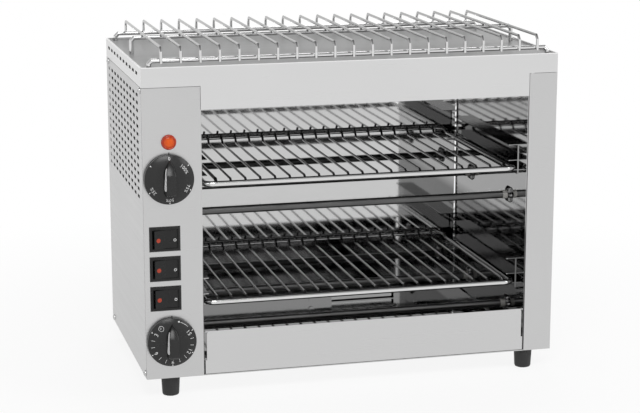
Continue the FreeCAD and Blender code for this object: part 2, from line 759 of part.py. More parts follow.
def tray_front():
    """Tall front with rounded top corners and a narrow tab low on each side."""
    low = PAN_SHEET + TRAY_FRONT_GAP
    top = TRAY_FRONT_HEIGHT
    half = TRAY_FRONT_HALF
    turn = TRAY_CORNER
    mid = turn * (1 - math.sqrt(0.5))
    edges = []
    ends = {}
    for sign in (-1, 1):
        x = MIDDLE + sign * half
        edge = MIDDLE + sign * TRAY_HALF
        steps = [
            Vector(edge, 0, low),
            Vector(edge, 0, TRAY_TAB_HEIGHT),
            Vector(x, 0, TRAY_TAB_HEIGHT),
            Vector(x, 0, top - turn),
        ]
        for a, b in zip(steps, steps[1:]):
            edges.append(Part.makeLine(a, b))
        inner = x - sign * turn
        over = Vector(inner, 0, top)
        middle = Vector(x - sign * mid, 0, top - mid)
        edges.append(Part.Arc(steps[-1], middle, over).toShape())
        ends[sign] = (steps[0], over)
    edges.append(Part.makeLine(ends[-1][0], ends[1][0]))
    edges.append(Part.makeLine(ends[-1][1], ends[1][1]))
    outline = Part.Wire(Part.__sortEdges__(edges))
    return Part.Face(outline).extrude(Vector(0, TRAY_SHEET, 0))


def crumb_tray():
    """Shallow tray with a tall front; its rear wall has a slot and a rivet."""
    left = MIDDLE - TRAY_HALF
    right = MIDDLE + TRAY_HALF
    low = PAN_SHEET + TRAY_FLOOR_GAP
    floor_top = low + TRAY_SHEET
    wall_top = low + TRAY_WALL
    back = CHAMBER_DEPTH - TRAY_REAR_GAP
    inside = back - TRAY_SHEET
    top = TRAY_FRONT_HEIGHT
    floor = box(left, right, 0, back, low, floor_top)
    left_wall = box(left, left + TRAY_SHEET, 0, back, low, wall_top)
    right_wall = box(right - TRAY_SHEET, right, 0, back, low, wall_top)
    rear_wall = box(left, right, inside, back, low, wall_top)
    top_return = box(left, right, 0, TRAY_SHEET + TRAY_TOP_RETURN, top - TRAY_SHEET, top)
    seat = Vector(MIDDLE + TRAY_RIVET_SHIFT, inside, floor_top + TRAY_RIVET_RISE)
    rivet = cylinder(TRAY_RIVET_RADIUS, seat, seat - Vector(0, TRAY_RIVET_HEAD, 0))
    tray = joined([tray_front(), floor, left_wall, right_wall, rear_wall, top_return, rivet])
    slot_middle = MIDDLE + TRAY_SLOT_SHIFT
    slot_low = floor_top + TRAY_SLOT_RISE
    half = TRAY_SLOT_LENGTH / 2
    slot = box(slot_middle - half, slot_middle + half, inside, back, slot_low, slot_low + TRAY_SLOT_HEIGHT)
    return tray.cut(slot)


# Controls

def dial(level):
    """Moulded dial: a dished skirt, hollow behind, with a pointed grip across it."""
    back = -DIAL_GAP
    rim = back - DIAL_RIM
    crown = back - DIAL_CROWN
    profile = [
        (0, crown),
        (DIAL_CROWN_RADIUS, crown),
        (DIAL_RADIUS - DIAL_EDGE, rim),
        (DIAL_RADIUS, rim + DIAL_EDGE),
        (DIAL_RADIUS, back),
        (DIAL_RADIUS - DIAL_WALL, back),
        (DIAL_RADIUS - DIAL_WALL, rim + DIAL_WALL),
        (DIAL_CROWN_RADIUS, crown + DIAL_WALL),
        (DIAL_HUB_RADIUS, crown + DIAL_WALL),
        (DIAL_HUB_RADIUS, -BUSH_REACH - DIAL_HUB_GAP),
        (0, -BUSH_REACH - DIAL_HUB_GAP),
    ]
    skirt = turned(profile, DIAL_X, level)
    grip = grip_block(DIAL_X, level, rim + DIAL_EDGE, -DIAL_REACH)
    socket = Vector(DIAL_X, SOCKET_WALL - DIAL_REACH, level)
    bore = cylinder(SHAFT_RADIUS + SHAFT_FIT, socket, Vector(DIAL_X, 0, level))
    return skirt.fuse(grip).cut(bore).removeSplitter()


def grip_block(x, z, base_y, top_y):
    """Grip with drafted flanks, its upper end brought to a point."""
    outlines = []
    for y, width, length in (
        (base_y, GRIP_WIDTH, GRIP_LENGTH),
        (top_y, GRIP_TOP_WIDTH, GRIP_LENGTH - GRIP_WIDTH + GRIP_TOP_WIDTH),
    ):
        half = length / 2
        side = width / 2
        points = [
            Vector(x - side, y, z - half + side / 2),
            Vector(x - side / 2, y, z - half),
            Vector(x + side / 2, y, z - half),
            Vector(x + side, y, z - half + side / 2),
            Vector(x + side, y, z + half - GRIP_POINT),
            Vector(x, y, z + half),
            Vector(x - side, y, z + half - GRIP_POINT),
        ]
        outlines.append(Part.makePolygon(points + points[:1]))
    return Part.makeLoft(outlines, True, True)


def shaft(level, depth):
    start = Vector(DIAL_X, SOCKET_WALL - DIAL_REACH, level)
    return cylinder(SHAFT_RADIUS, start, Vector(DIAL_X, depth, level))


def bush(level, depth):
    """Threaded bush that carries a shaft, in front of and inside its housing."""
    start = Vector(DIAL_X, -BUSH_REACH, level)
    return cylinder(BUSH_RADIUS, start, Vector(DIAL_X, depth, level))


def shaft_bore(level, depth):
    start = Vector(DIAL_X, -BUSH_REACH, level)
    end = Vector(DIAL_X, depth + SLIDE_CLEARANCE, level)
    return cylinder(SHAFT_RADIUS + SHAFT_FIT, start, end)


def energy_regulator():
    width = REGULATOR_WIDTH
    depth = REGULATOR_DEPTH
    height = REGULATOR_HEIGHT
    x = DIAL_X
    z = POWER_LEVEL
    case = box(x - width / 2, x + width / 2, SHEET, SHEET + depth, z - height / 2, z + height / 2)
    pieces = [case, bush(POWER_LEVEL, SHEET + depth / 2)]
    back = SHEET + depth
    for dx in (-width / 3, 0, width / 3):
        half = BLADE_THICKNESS / 2
        for dz in (-height / 4, height / 4):
            pieces.append(
                box(
                    x + dx - half,
                    x + dx + half,
                    back - BLADE_ROOT,
                    back + BLADE_LENGTH,
                    z + dz - BLADE_WIDTH / 2,
                    z + dz + BLADE_WIDTH / 2,
                )
            )
    return joined(pieces).cut(shaft_bore(POWER_LEVEL, SHEET + depth / 2))


def timer_body():
    z = TIMER_LEVEL
    x = DIAL_X
    plate_end = SHEET + TIMER_PLATE
    plate = cylinder(TIMER_RADIUS + TIMER_PLATE, Vector(x, SHEET, z), Vector(x, plate_end, z))
    can = cylinder(TIMER_RADIUS, Vector(x, plate_end, z), Vector(x, plate_end + TIMER_DEPTH, z))
    whole = joined([plate, can, bush(TIMER_LEVEL, plate_end)])
    return whole.cut(shaft_bore(TIMER_LEVEL, plate_end + TIMER_DEPTH / 2))


def bush_nuts():
    nuts = []
    for level in (POWER_LEVEL, TIMER_LEVEL):
        nuts.append(hex_nut(NUT_FLATS, BUSH_RADIUS, DIAL_X, level, -NUT_HEIGHT, 0))
    return Part.makeCompound(nuts)


def lamp_bezel():
    """Round rim on the panel with a barrel through it."""
    inner = LAMP_RADIUS - LAMP_RIM_WALL
    barrel = LAMP_BARREL_RADIUS
    bore = barrel - LAMP_BARREL_WALL
    profile = [
        (inner, -LAMP_RIM),
        (LAMP_RADIUS - LAMP_EDGE, -LAMP_RIM),
        (LAMP_RADIUS, LAMP_EDGE - LAMP_RIM),
        (LAMP_RADIUS, 0),
        (barrel, 0),
        (barrel, LAMP_BARREL_DEPTH),
        (bore, LAMP_BARREL_DEPTH),
        (bore, -LAMP_RIM / 2),
        (inner, -LAMP_RIM / 2),
    ]
    return turned(profile, LAMP_X, LAMP_LEVEL)


def lamp_lens():
    seat = -LAMP_RIM / 2
    radius = LAMP_RADIUS - LAMP_RIM_WALL - HOLE_CLEARANCE
    stem = LAMP_BARREL_RADIUS - LAMP_BARREL_WALL - HOLE_CLEARANCE
    front = -LAMP_RIM - LENS_CROWN
    profile = [
        (0, front),
        (LENS_SHOULDER_RADIUS, front + LENS_SHOULDER),
        (radius, front + LENS_CROWN),
        (radius, seat),
        (stem, seat),
        (stem, LENS_STEM),
        (0, LENS_STEM),
    ]
    return turned(profile, LAMP_X, LAMP_LEVEL)


def lamp_body():
    """Neon holder in the barrel's end, with two blades."""
    x = LAMP_X
    z = LAMP_LEVEL
    start = LAMP_BARREL_DEPTH
    end = start + LAMP_BODY_DEPTH
    pieces = [cylinder(LAMP_BODY_RADIUS, Vector(x, start, z), Vector(x, end, z))]
    for sign in (-1, 1):
        dx = sign * LAMP_BODY_RADIUS / 2
        half = BLADE_THICKNESS / 2
        side = BLADE_WIDTH / 4
        tip = end + BLADE_LENGTH
        pieces.append(box(x + dx - half, x + dx + half, end - BLADE_ROOT, tip, z - side, z + side))
    return joined(pieces)


def switch_housing(level):
    """Bezel and body of a rocker switch, with a pocket for the rocker and its pin holes."""
    x = SWITCH_X
    half_w = BEZEL_WIDTH / 2
    half_h = BEZEL_HEIGHT / 2
    ease = BEZEL_RIM / 2
    low = rectangle(x, level, half_w, half_h, 0)
    high = rectangle(x, level, half_w - ease, half_h - ease, -BEZEL_RIM)
    bezel = Part.makeLoft([low, high], True, True)
    half_w = SWITCH_BODY_WIDTH / 2
    half_h = SWITCH_BODY_HEIGHT / 2
    body = box(x - half_w, x + half_w, 0, SWITCH_BODY_DEPTH, level - half_h, level + half_h)
    pieces = [bezel, body]
    for dx in (-SWITCH_BODY_WIDTH / 3, 0, SWITCH_BODY_WIDTH / 3):
        half = BLADE_THICKNESS / 2
        side = BLADE_WIDTH / 2
        end = SWITCH_BODY_DEPTH + BLADE_LENGTH
        pieces.append(
            box(
                x + dx - half,
                x + dx + half,
                SWITCH_BODY_DEPTH - BLADE_ROOT,
                end,
                level - side,
                level + side,
            )
        )
    pocket_w = ROCKER_HALF_WIDTH + ROCKER_SIDE_CLEARANCE
    pocket_h = ROCKER_HALF_HEIGHT + ROCKER_END_CLEARANCE
    depth = ROCKER_POCKET_DEPTH
    pocket = box(x - pocket_w, x + pocket_w, -BEZEL_RIM, depth, level - pocket_h, level + pocket_h)
    reach = ROCKER_HALF_HEIGHT + ROCKER_PIN_LENGTH + HOLE_CLEARANCE
    pins = cylinder(
        ROCKER_PIN_RADIUS + SHAFT_FIT,
        Vector(x, ROCKER_PIVOT, level - reach),
        Vector(x, ROCKER_PIVOT, level + reach),
    )
    return joined(pieces).cut([pocket, pins])


def rectangle(x, z, half_w, half_h, y):
    corners = [
        Vector(x - half_w, y, z - half_h),
        Vector(x + half_w, y, z - half_h),
        Vector(x + half_w, y, z + half_h),
        Vector(x - half_w, y, z + half_h),
    ]
    return Part.makePolygon(corners + corners[:1])


def rocker(level):
    """Rocker with a dished front and two stub pins, tilted to its right-hand stop."""
    x = SWITCH_X
    half = ROCKER_HALF_WIDTH
    front = -BEZEL_RIM - ROCKER_PROUD / 2
    bottom = level - ROCKER_HALF_HEIGHT
    outline = [
        Vector(x - half, front, bottom),
        Vector(x, front + ROCKER_DISH, bottom),
        Vector(x + half, front, bottom),
        Vector(x + half, ROCKER_PIVOT / 2, bottom),
        Vector(x + half / 2, ROCKER_PIVOT + half / 4, bottom),
        Vector(x - half / 2, ROCKER_PIVOT + half / 4, bottom),
        Vector(x - half, ROCKER_PIVOT / 2, bottom),
    ]
    block = slab(outline, Vector(0, 0, 2 * ROCKER_HALF_HEIGHT))
    reach = ROCKER_HALF_HEIGHT + ROCKER_PIN_LENGTH
    pins = cylinder(
        ROCKER_PIN_RADIUS,
        Vector(x, ROCKER_PIVOT, level - reach),
        Vector(x, ROCKER_PIVOT, level + reach),
    )
    whole = block.fuse(pins)
    whole.rotate(Vector(x, ROCKER_PIVOT, level), Vector(0, 0, 1), ROCKER_TILT)
    return whole


# Mains entry

def cable_gland():
    """Hexagonal gland on the rear cover, with its thread inside and a clear bore."""
    x = GLAND_X
    z = GLAND_LEVEL
    face = BODY_DEPTH
    flange = slab(hexagon(GLAND_FLATS, x, z), Vector(0, GLAND_FLANGE, 0))
    flange.translate(Vector(0, face, 0))
    nose_radius = GLAND_FLATS / 2 - GLAND_NOSE_STEP
    profile = [
        (0, face - SHEET - GLAND_INSIDE),
        (GLAND_THREAD, face - SHEET - GLAND_INSIDE),
        (GLAND_THREAD, face + GLAND_FLANGE),
        (nose_radius, face + GLAND_FLANGE),
        (nose_radius, face + GLAND_REACH - GLAND_TAPER_LENGTH),
        (nose_radius - GLAND_TAPER, face + GLAND_REACH),
        (0, face + GLAND_REACH),
    ]
    body = turned(profile, x, z).fuse(flange)
    start = Vector(x, face - SHEET - GLAND_INSIDE, z)
    return body.cut(cylinder(GLAND_BORE, start, Vector(x, face + GLAND_REACH, z)))


def gland_nut():
    inside = BODY_DEPTH - SHEET
    return hex_nut(GLAND_FLATS, GLAND_THREAD, GLAND_X, GLAND_LEVEL, inside - GLAND_NUT, inside)


def terminal_block():
    """Ceramic block on the pan, with a raised wall between its poles."""
    length = BLOCK_LENGTH
    depth = BLOCK_DEPTH
    x = GLAND_X - length / 2 + BLOCK_WALL * 2
    y = BODY_DEPTH / 2
    base = box(x, x + length, y, y + depth, PAN_SHEET, PAN_SHEET + BLOCK_BASE)
    pieces = [base]
    pole = (length - BLOCK_WALL) / BLOCK_POLES
    for i in range(BLOCK_POLES + 1):
        wall_x = x + pole * i
        top = PAN_SHEET + BLOCK_HEIGHT
        pieces.append(box(wall_x, wall_x + BLOCK_WALL, y, y + depth, PAN_SHEET, top))
    return joined(pieces)


# Feet and screws

def foot(x, y):
    """Tapered rubber foot with a rounded lower edge and a recess for its screw."""
    low = -FOOT_HEIGHT
    ease = FOOT_ROUND * (1 - math.sqrt(0.5))
    profile = [
        (0, FOOT_RECESS_DEPTH + low),
        (FOOT_RECESS_RADIUS, FOOT_RECESS_DEPTH + low),
        (FOOT_RECESS_RADIUS, low),
        (FOOT_BOTTOM_RADIUS - FOOT_ROUND, low),
        (FOOT_BOTTOM_RADIUS - ease, low + ease),
        (FOOT_BOTTOM_RADIUS, low + FOOT_ROUND),
        (FOOT_TOP_RADIUS, 0),
        (0, 0),
    ]
    points = [Vector(x + radius, y, z) for radius, z in profile]
    face = Part.Face(Part.makePolygon(points + points[:1]))
    body = face.revolve(Vector(x, y, 0), Vector(0, 0, 1), 360)
    hole = cylinder(SCREW_RADIUS, Vector(x, y, low), Vector(x, y, 0))
    return body.cut(hole)


def screw(seat, direction, length):
    """Pan head on the surface at seat, its shank against the outward direction."""
    outward = Vector(direction).normalize()
    head = cylinder(SCREW_HEAD_RADIUS, seat, seat + outward * SCREW_HEAD)
    shank = cylinder(SCREW_RADIUS, seat - outward * length, seat)
    return head.fuse(shank)


def side_screws():
    screws = []
    for sign in (-1, 1):
        for y, z in side_screw_places():
            screws.append(screw(Vector(sign * HALF_WIDTH, y, z), Vector(sign, 0, 0), SCREW_LENGTH))
    return Part.makeCompound(screws)


def rear_screws():
    screws = []
    for x, z in rear_screw_places():
        screws.append(screw(Vector(x, BODY_DEPTH, z), Vector(0, 1, 0), SCREW_REAR_LENGTH))
    return Part.makeCompound(screws)


def foot_screws():
    screws = []
    seat_z = FOOT_RECESS_DEPTH - FOOT_HEIGHT
    length = PAN_SHEET + FOOT_NUT + SCREW_RADIUS / 2 - seat_z
    for _, x, y in foot_places():
        screws.append(screw(Vector(x, y, seat_z), Vector(0, 0, -1), length))
    return Part.makeCompound(screws)


def foot_nuts():
    nuts = []
    for _, x, y in foot_places():
        nut = hex_nut(FOOT_NUT_FLATS, SCREW_RADIUS, x, -y, PAN_SHEET, PAN_SHEET + FOOT_NUT)
        nut.rotate(Vector(0, 0, 0), Vector(1, 0, 0), 90)
        nuts.append(nut)
    return Part.makeCompound(nuts)


def all_pieces():
    pieces = {
        "base_pan": base_pan(),
        "rear_cover": rear_cover(),
        "left_side_cover": side_cover(-1),
        "right_side_cover": side_cover(1),
        "top_cap": top_cap(),
        "top_plate": top_plate(),
        "control_panel": control_panel(),
        "right_pillar": right_pillar(),
        "liner_left": liner_side(-1),
        "liner_right": liner_side(1),
        "liner_back": liner_back(),
        "ceiling_reflector": ceiling_reflector(),
        "ceramic_caps_left": ceramic_caps(-1),
        "ceramic_caps_right": ceramic_caps(1),
        "crumb_tray": crumb_tray(),
        "top_rack": top_rack(),
        "power_knob": dial(POWER_LEVEL),
        "power_shaft": shaft(POWER_LEVEL, SHEET + REGULATOR_DEPTH / 2),
        "energy_regulator": energy_regulator(),
        "timer_knob": dial(TIMER_LEVEL),
        "timer_shaft": shaft(TIMER_LEVEL, SHEET + TIMER_PLATE + TIMER_DEPTH / 2),
        "timer_body": timer_body(),
        "bush_nuts": bush_nuts(),
        "lamp_bezel": lamp_bezel(),
        "lamp_lens": lamp_lens(),
        "lamp_body": lamp_body(),
        "cable_gland": cable_gland(),
        "gland_nut": gland_nut(),
        "terminal_block": terminal_block(),
        "side_screws": side_screws(),
        "rear_screws": rear_screws(),
        "foot_screws": foot_screws(),
        "foot_nuts": foot_nuts(),
    }
    for level in SHELF_LEVELS:
        pieces[level + "_shelf"] = shelf(level)
        for side, sign in (("left", -1), ("right", 1)):
            pieces["guide_" + level + "_" + side] = guide(sign, level)
    for place, y, z in element_places():
        pieces["element_" + place] = element(y, z)
    for number, level in enumerate(switch_levels(), start=1):
        pieces["switch_housing_" + str(number)] = switch_housing(level)
        pieces["rocker_" + str(number)] = rocker(level)
    for place, x, y in foot_places():
        pieces["foot_" + place] = foot(x, y)
    return pieces


# Stand it on its feet, with the middle of its outline over the origin
os.makedirs("parts", exist_ok=True)
for name, shape in all_pieces().items():
    shape.translate(Vector(0, -MIDDLE_Y, FOOT_HEIGHT))
    shape.exportStep("parts/" + name + ".step")
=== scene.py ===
import bpy
import json
import math
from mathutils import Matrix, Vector


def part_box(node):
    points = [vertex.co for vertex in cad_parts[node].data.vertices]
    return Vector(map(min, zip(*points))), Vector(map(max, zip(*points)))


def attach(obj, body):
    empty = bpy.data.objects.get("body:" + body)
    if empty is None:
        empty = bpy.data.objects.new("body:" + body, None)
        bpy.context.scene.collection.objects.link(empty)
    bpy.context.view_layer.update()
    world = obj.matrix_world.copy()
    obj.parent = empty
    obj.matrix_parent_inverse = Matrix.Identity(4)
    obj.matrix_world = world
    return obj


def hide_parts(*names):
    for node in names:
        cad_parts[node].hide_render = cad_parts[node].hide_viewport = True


# Looks for the clamp toaster. Metres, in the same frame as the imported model.

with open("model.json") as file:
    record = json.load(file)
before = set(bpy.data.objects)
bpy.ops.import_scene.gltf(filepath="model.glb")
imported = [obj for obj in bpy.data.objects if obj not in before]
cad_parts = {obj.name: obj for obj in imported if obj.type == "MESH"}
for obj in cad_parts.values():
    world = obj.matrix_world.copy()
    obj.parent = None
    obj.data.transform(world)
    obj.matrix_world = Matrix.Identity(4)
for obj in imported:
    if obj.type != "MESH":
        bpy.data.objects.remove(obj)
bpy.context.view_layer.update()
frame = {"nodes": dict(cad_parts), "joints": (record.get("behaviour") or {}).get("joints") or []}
nodes = frame["nodes"]


def middle_of(name):
    """Middle of a node's box."""
    low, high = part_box(name)
    return (low + high) / 2


# Places that the trim is set by, read from the frame
MM = 0.001
DIAL_NODES = {"power_dial": "power_knob", "timer_dial": "timer_knob"}
ROCKERS = ("rocker_1", "rocker_2", "rocker_3")
pivots = {joint["child"]: joint["pos_m"] for joint in frame["joints"] if "pos_m" in joint}
FRONT_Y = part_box("control_panel")[0].y
DIAL_X = pivots["power_dial"][0]
DIAL_LEVELS = {body: pivots[body][2] for body in DIAL_NODES}
ROCKER_X = pivots["rocker_1"][0]
ROCKER_LEVELS = {body: pivots[body][2] for body in ROCKERS}
ROCKER_PIVOT = pivots["rocker_1"][1] - FRONT_Y
LAMP_PLACE = middle_of("lamp_lens")
LAMP_PLACE.y = FRONT_Y
TRAY_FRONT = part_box("crumb_tray")[0].y
SHELF_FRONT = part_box("upper_shelf")[0].y
RACK_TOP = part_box("top_rack")[1].z

# Skirt of a dial: a flat crown, then a cone out to the rim. Reaches are in front of the panel
CROWN_RADIUS = 15 * MM
CROWN_REACH = 8.7 * MM
CROWN_EDGE = 1 * MM
CROWN_EDGE_DROP = 0.31 * MM
RIM_RADIUS = 24.7 * MM
RIM_REACH = 5.7 * MM
SKIRT_RADIUS = 25.3 * MM
SKIRT_SIDE = 5.1 * MM
SKIRT_GAP = 1.2 * MM
SKIRT_WALL = 2 * MM
HUB_RADIUS = 6 * MM
HUB_REACH = 5.5 * MM

# Grip of a dial: a straight middle, a top that curves down to its point, and a heel below
GRIP_HALF = 6.75 * MM
GRIP_NARROWS = 0.72
GRIP_REACH = 19 * MM
GRIP_BASE = 5.7 * MM
GRIP_SINK = 7 * MM
GRIP_SLOPE = 8.8 * MM
GRIP_EDGE = 0.8 * MM
GRIP_EDGE_CUT = 0.3
GRIP_TOP = 20 * MM
GRIP_SHOULDER = 5 * MM
GRIP_HEEL = -11 * MM
GRIP_BOTTOM = -17 * MM
GRIP_FULLNESS = 1.02
SLOPE_CURVE = 1.15
POINT_CURVE = 8
HEEL_CURVE = 3
HEEL_NARROWS = 0.4
GRIP_STEPS = 32

# Print on the dials
PRINT_LIFT = 0.05 * MM
POWER_HEIGHT = 3.3 * MM
TIMER_HEIGHT = 4.1 * MM
FONT_CAP_SHARE = 0.70
NUMBER_THINNING = -0.004
NUMBER_SPACING = 1.12
TICK_RADIUS = 22.8 * MM
TICK_LENGTH = 1.7 * MM
TICK_WIDTH = 1.4 * MM
LINE_WIDTH = 0.34 * MM
MINUTE_RADIUS = 18.4 * MM
MINUTE_LENGTH = 4 * MM

# Numbers by their bearing from the top: the text and the radius of its middle
POWER_MARKS = {
    0: ("0", 21.9 * MM),
    54: ("100%", 18.9 * MM),
    118: ("75%", 20.2 * MM),
    180: ("50%", 20.9 * MM),
    -122: ("25%", 20.0 * MM),
    -52: ("", 0),
}
TIMER_PITCH = 60
TIMER_MARKS = {
    TIMER_PITCH: ("15", 19.8 * MM),
    2 * TIMER_PITCH: ("12", 20.3 * MM),
    3 * TIMER_PITCH: ("9", 20.7 * MM),
    -2 * TIMER_PITCH: ("6", 20.0 * MM),
    -TIMER_PITCH: ("3", 19.2 * MM),
}

# Signs on the timer: a clock face with two hands, and a dot with an arc
CLOCK_BEARING = -0.6 * TIMER_PITCH
CLOCK_PLACE = 19.4 * MM
CLOCK_RADIUS = 2.6 * MM
MINUTE_HAND = 1.8 * MM
HOUR_HAND = 1.2 * MM
START_BEARING = 18
START_RADIUS = 0.9 * MM
START_ARC = (22, 46)
START_ARC_STEPS = 12

# Painted highlight on a grip's left flank, as a white line, with steps that crowd towards its round
# foot
FLANK_BOTTOM = -10 * MM
FLANK_TOP = 13 * MM
FLANK_ROUND = 2.5 * MM
FLANK_MARGIN = 0.1 * MM
FLANK_WIDTH_BELOW = 7.5 * MM
FLANK_WIDTH_ABOVE = 2.4 * MM
FLANK_STEPS = 24
FLANK_CROWDING = 1.5

# Index ticks on the panel
INDEX_SHIFT = 0.9 * MM
INDEX_WIDTH = 1.3 * MM
INDEX_LOW = 24 * MM
INDEX_HIGH = 26.8 * MM

# Rocker switches: the face is two flats that meet at the middle, tilted about the pivot
ROCKER_HALF = 12.2 * MM
ROCKER_EDGE = -2.9 * MM
ROCKER_MIDDLE = -1.3 * MM
ROCKER_TILT = math.radians(8)
DOT_RADIUS = 2.3 * MM
DOT_PLACE = (-7.8 * MM, -0.7 * MM)
OFF_RADIUS = 1.2 * MM
OFF_LINE = 0.5 * MM
OFF_PLACE = (9.4 * MM, -1.2 * MM)
GAP_START = 10.9 * MM
GAP_END = 12.1 * MM
GAP_HALF_HEIGHT = 8.4 * MM

# Pan head screws: profile of (radius, height) above the seat, the cross, and how it is turned
HEAD_RADIUS = 3.3 * MM
HEAD_HEIGHT = 1.8 * MM
HEAD_PROFILE = [
    (HEAD_RADIUS, 0),
    (HEAD_RADIUS, 0.9 * MM),
    (3.05 * MM, 1.3 * MM),
    (2.5 * MM, 1.6 * MM),
    (1.6 * MM, 1.74 * MM),
]
SHANK_RADIUS = 1.75 * MM
SIDE_SHANK = 7 * MM
REAR_SHANK = 4 * MM
RECESS_LENGTH = 3.4 * MM
RECESS_WIDTH = 0.8 * MM
RECESS_HEIGHT = 1.77 * MM
FIRST_ROLL = 0.4
NEXT_ROLL = 0.7

# Spring clips round the caps: rings of (share of the way to the finger tips, rise off the wall)
CLIP_BORE = 4.6 * MM
CLIP_ROOT = 6.6 * MM
CLIP_TIP = 9.8 * MM
CLIP_FINGERS = 6
CLIP_STEPS = 72
CLIP_RINGS = [
    (0, 0.6 * MM),
    (0.08, 2.2 * MM),
    (0.35, 3.2 * MM),
    (0.7, 2.6 * MM),
    (1.0, 0.5 * MM),
    (1.0, 0.2 * MM),
]

# Painted highlights down the rear corners: a near-white strip turned a little from the rear wall
# where the sheet folds
FOLD_START = 2.1 * MM
FOLD_END = 0.5 * MM
FOLD_TURN = math.radians(20)
FOLD_LOW = 70 * MM
LINER_SHEET = 0.6 * MM

# Painted shade in the seam where the side cover meets the front, and painted highlights along the
# bent edges of the cap
SEAM_START = 1.0 * MM
SEAM_WIDTH = 0.6 * MM
EDGE_WIDTH = 0.7 * MM

# Head of the indicator lamp: profile of (radius, reach), and where its middle and its ring part
LAMP_PROFILE = [
    (r * MM, h * MM) for r, h in (
        (7.7, 0.05), (7.7, 0.7), (7.4, 1.0), (7.3, 2.6), (6.9, 3.1), (6.3, 3.3),
        (5.9, 3.1), (5.6, 2.8), (5.2, 3.1), (3.8, 3.6), (1.8, 3.8),
    )
]
LAMP_MIDDLE = 4.7 * MM
LAMP_RING = 7.0 * MM

# Roundness and edges of the turned pieces
DIAL_STEPS = 96
LAMP_STEPS = 48
SHARP_ANGLE = math.radians(35)

# Where a finish or a painted tone changes: behind the tray's satin front, where painted shade starts
# along the shelves' wires and at the tops of the rack's wires, and between the two heights where the
# painted dark reflection low on the side walls fades out
SATIN_SKIN = 0.5 * MM
SKIN_CHANGE = 0.1 * MM
PAINTED_SHADE_FROM = 6 * MM
PAINTED_SHADE_TOPS = 5 * MM
WIRE_CHANGE = 4 * MM
PAINTED_REFLECTION_FADE = (148 * MM, 164 * MM)
PAINTED_REFLECTION_DARK = 0.26
PAINTED_REFLECTION_LIGHT = 0.36

# Scales of noise on x, y and z for brushing and for wiping marks, and ranges of roughness
BRUSHED_WALL = (6, 6, 900)
BRUSHED_TOP = (6, 900, 6)
WIPED = (30, 30, 90)
SATIN = (0.27, 0.36)
MIRROR = (0.03, 0.06)

# Floor, world, lamps and camera
FLOOR_RADIUS = 6.0
FLOOR_STEPS = 96
FLOOR_COLOUR = 0.88
FLOOR_GLOW_NEAR = 0.86
FLOOR_GLOW_REACH = (0.25, 0.75)
OVERHEAD_LIGHT = 0.35
OVERHEAD_REACH = (0.35, 0.80)
PLAIN_LIGHT = 0.62
LIT_PLACE = (0.0, 0.0, 0.18)
CAMERA_PLACE = (-0.5051, -1.9192, 0.6091)
CAMERA_YAW = math.radians(14.548)
CAMERA_PITCH = math.radians(12.591)
CAMERA_LENS = 104.44
SENSOR_WIDTH = 36


# Node materials

def rgb(value):
    """A grey or a colour as the four numbers that a socket takes."""
    if isinstance(value, (int, float)):
        value = (value, value, value)
    return (value[0], value[1], value[2], 1.0)


def shaded(value, share):
    """A grey or a colour times a share."""
    return [channel * share for channel in rgb(value)[:3]]


class Nodes:
    """Short way to write a node tree."""

    def __init__(self, tree):
        self.tree = tree
        self.tree.nodes.clear()

    def add(self, kind, **values):
        """A new node with some of its settings."""
        node = self.tree.nodes.new(kind)
        for key, value in values.items():
            setattr(node, key, value)
        return node

    def link(self, a, out, b, into):
        """Joins an output of one node to an input of another."""
        self.tree.links.new(a.outputs[out], b.inputs[into])

    def split(self, source, out):
        """The three parts of a vector."""
        parts = self.add("ShaderNodeSeparateXYZ")
        self.link(source, out, parts, "Vector")
        return parts

    def noise(self, scale, detail=3.0, roughness=0.5):
        """Noise over the object's own position, with one scale or with one for each axis."""
        if isinstance(scale, (int, float)):
            scale = (scale, scale, scale)
        mapping = self.add("ShaderNodeMapping")
        mapping.inputs["Scale"].default_value = scale
        self.link(self.add("ShaderNodeTexCoord"), "Object", mapping, "Vector")
        field = self.add("ShaderNodeTexNoise")
        field.inputs["Scale"].default_value = 1.0
        field.inputs["Detail"].default_value = detail
        field.inputs["Roughness"].default_value = roughness
        self.link(mapping, "Vector", field, "Vector")
        return field

    def ranged(self, source, out, low, high, start=0.3, end=0.7):
        """A number that goes from low to high while an output goes from start to end."""
        node = self.add("ShaderNodeMapRange")
        node.inputs["From Min"].default_value = start
        node.inputs["From Max"].default_value = end
        node.inputs["To Min"].default_value = low
        node.inputs["To Max"].default_value = high
        self.link(source, out, node, "Value")
        return node

    def along(self, axis, start, end):
        """0 before start and 1 after end, along one axis of the object's own position."""
        parts = self.split(self.add("ShaderNodeTexCoord"), "Object")
        return self.ranged(parts, axis, 0.0, 1.0, start, end)

    def mixed(self, source, out, first, second, kind="RGBA"):
        """Goes from the first tone to the second with an output. A tone is a value or a node."""
        node = self.add("ShaderNodeMix", data_type=kind)
        self.link(source, out, node, "Factor")
        for socket, tone in (("A", first), ("B", second)):
            if isinstance(tone, bpy.types.Node):
                self.link(tone, "Result", node, socket)
            else:
                node.inputs[socket].default_value = rgb(tone)
        return node

    def combined(self, operation, first, second):
        """A number made from two others, each given as a node and its output."""
        node = self.add("ShaderNodeMath", operation=operation)
        self.link(*first, node, 0)
        self.link(*second, node, 1)
        return node

    def shows_directly(self):
        """1 for rays from the camera, a reflection or a clear material."""
        path = self.add("ShaderNodeLightPath")
        shown = self.combined("MAXIMUM", (path, "Is Camera Ray"), (path, "Is Glossy Ray"))
        return self.combined("MAXIMUM", (shown, "Value"), (path, "Is Transmission Ray"))


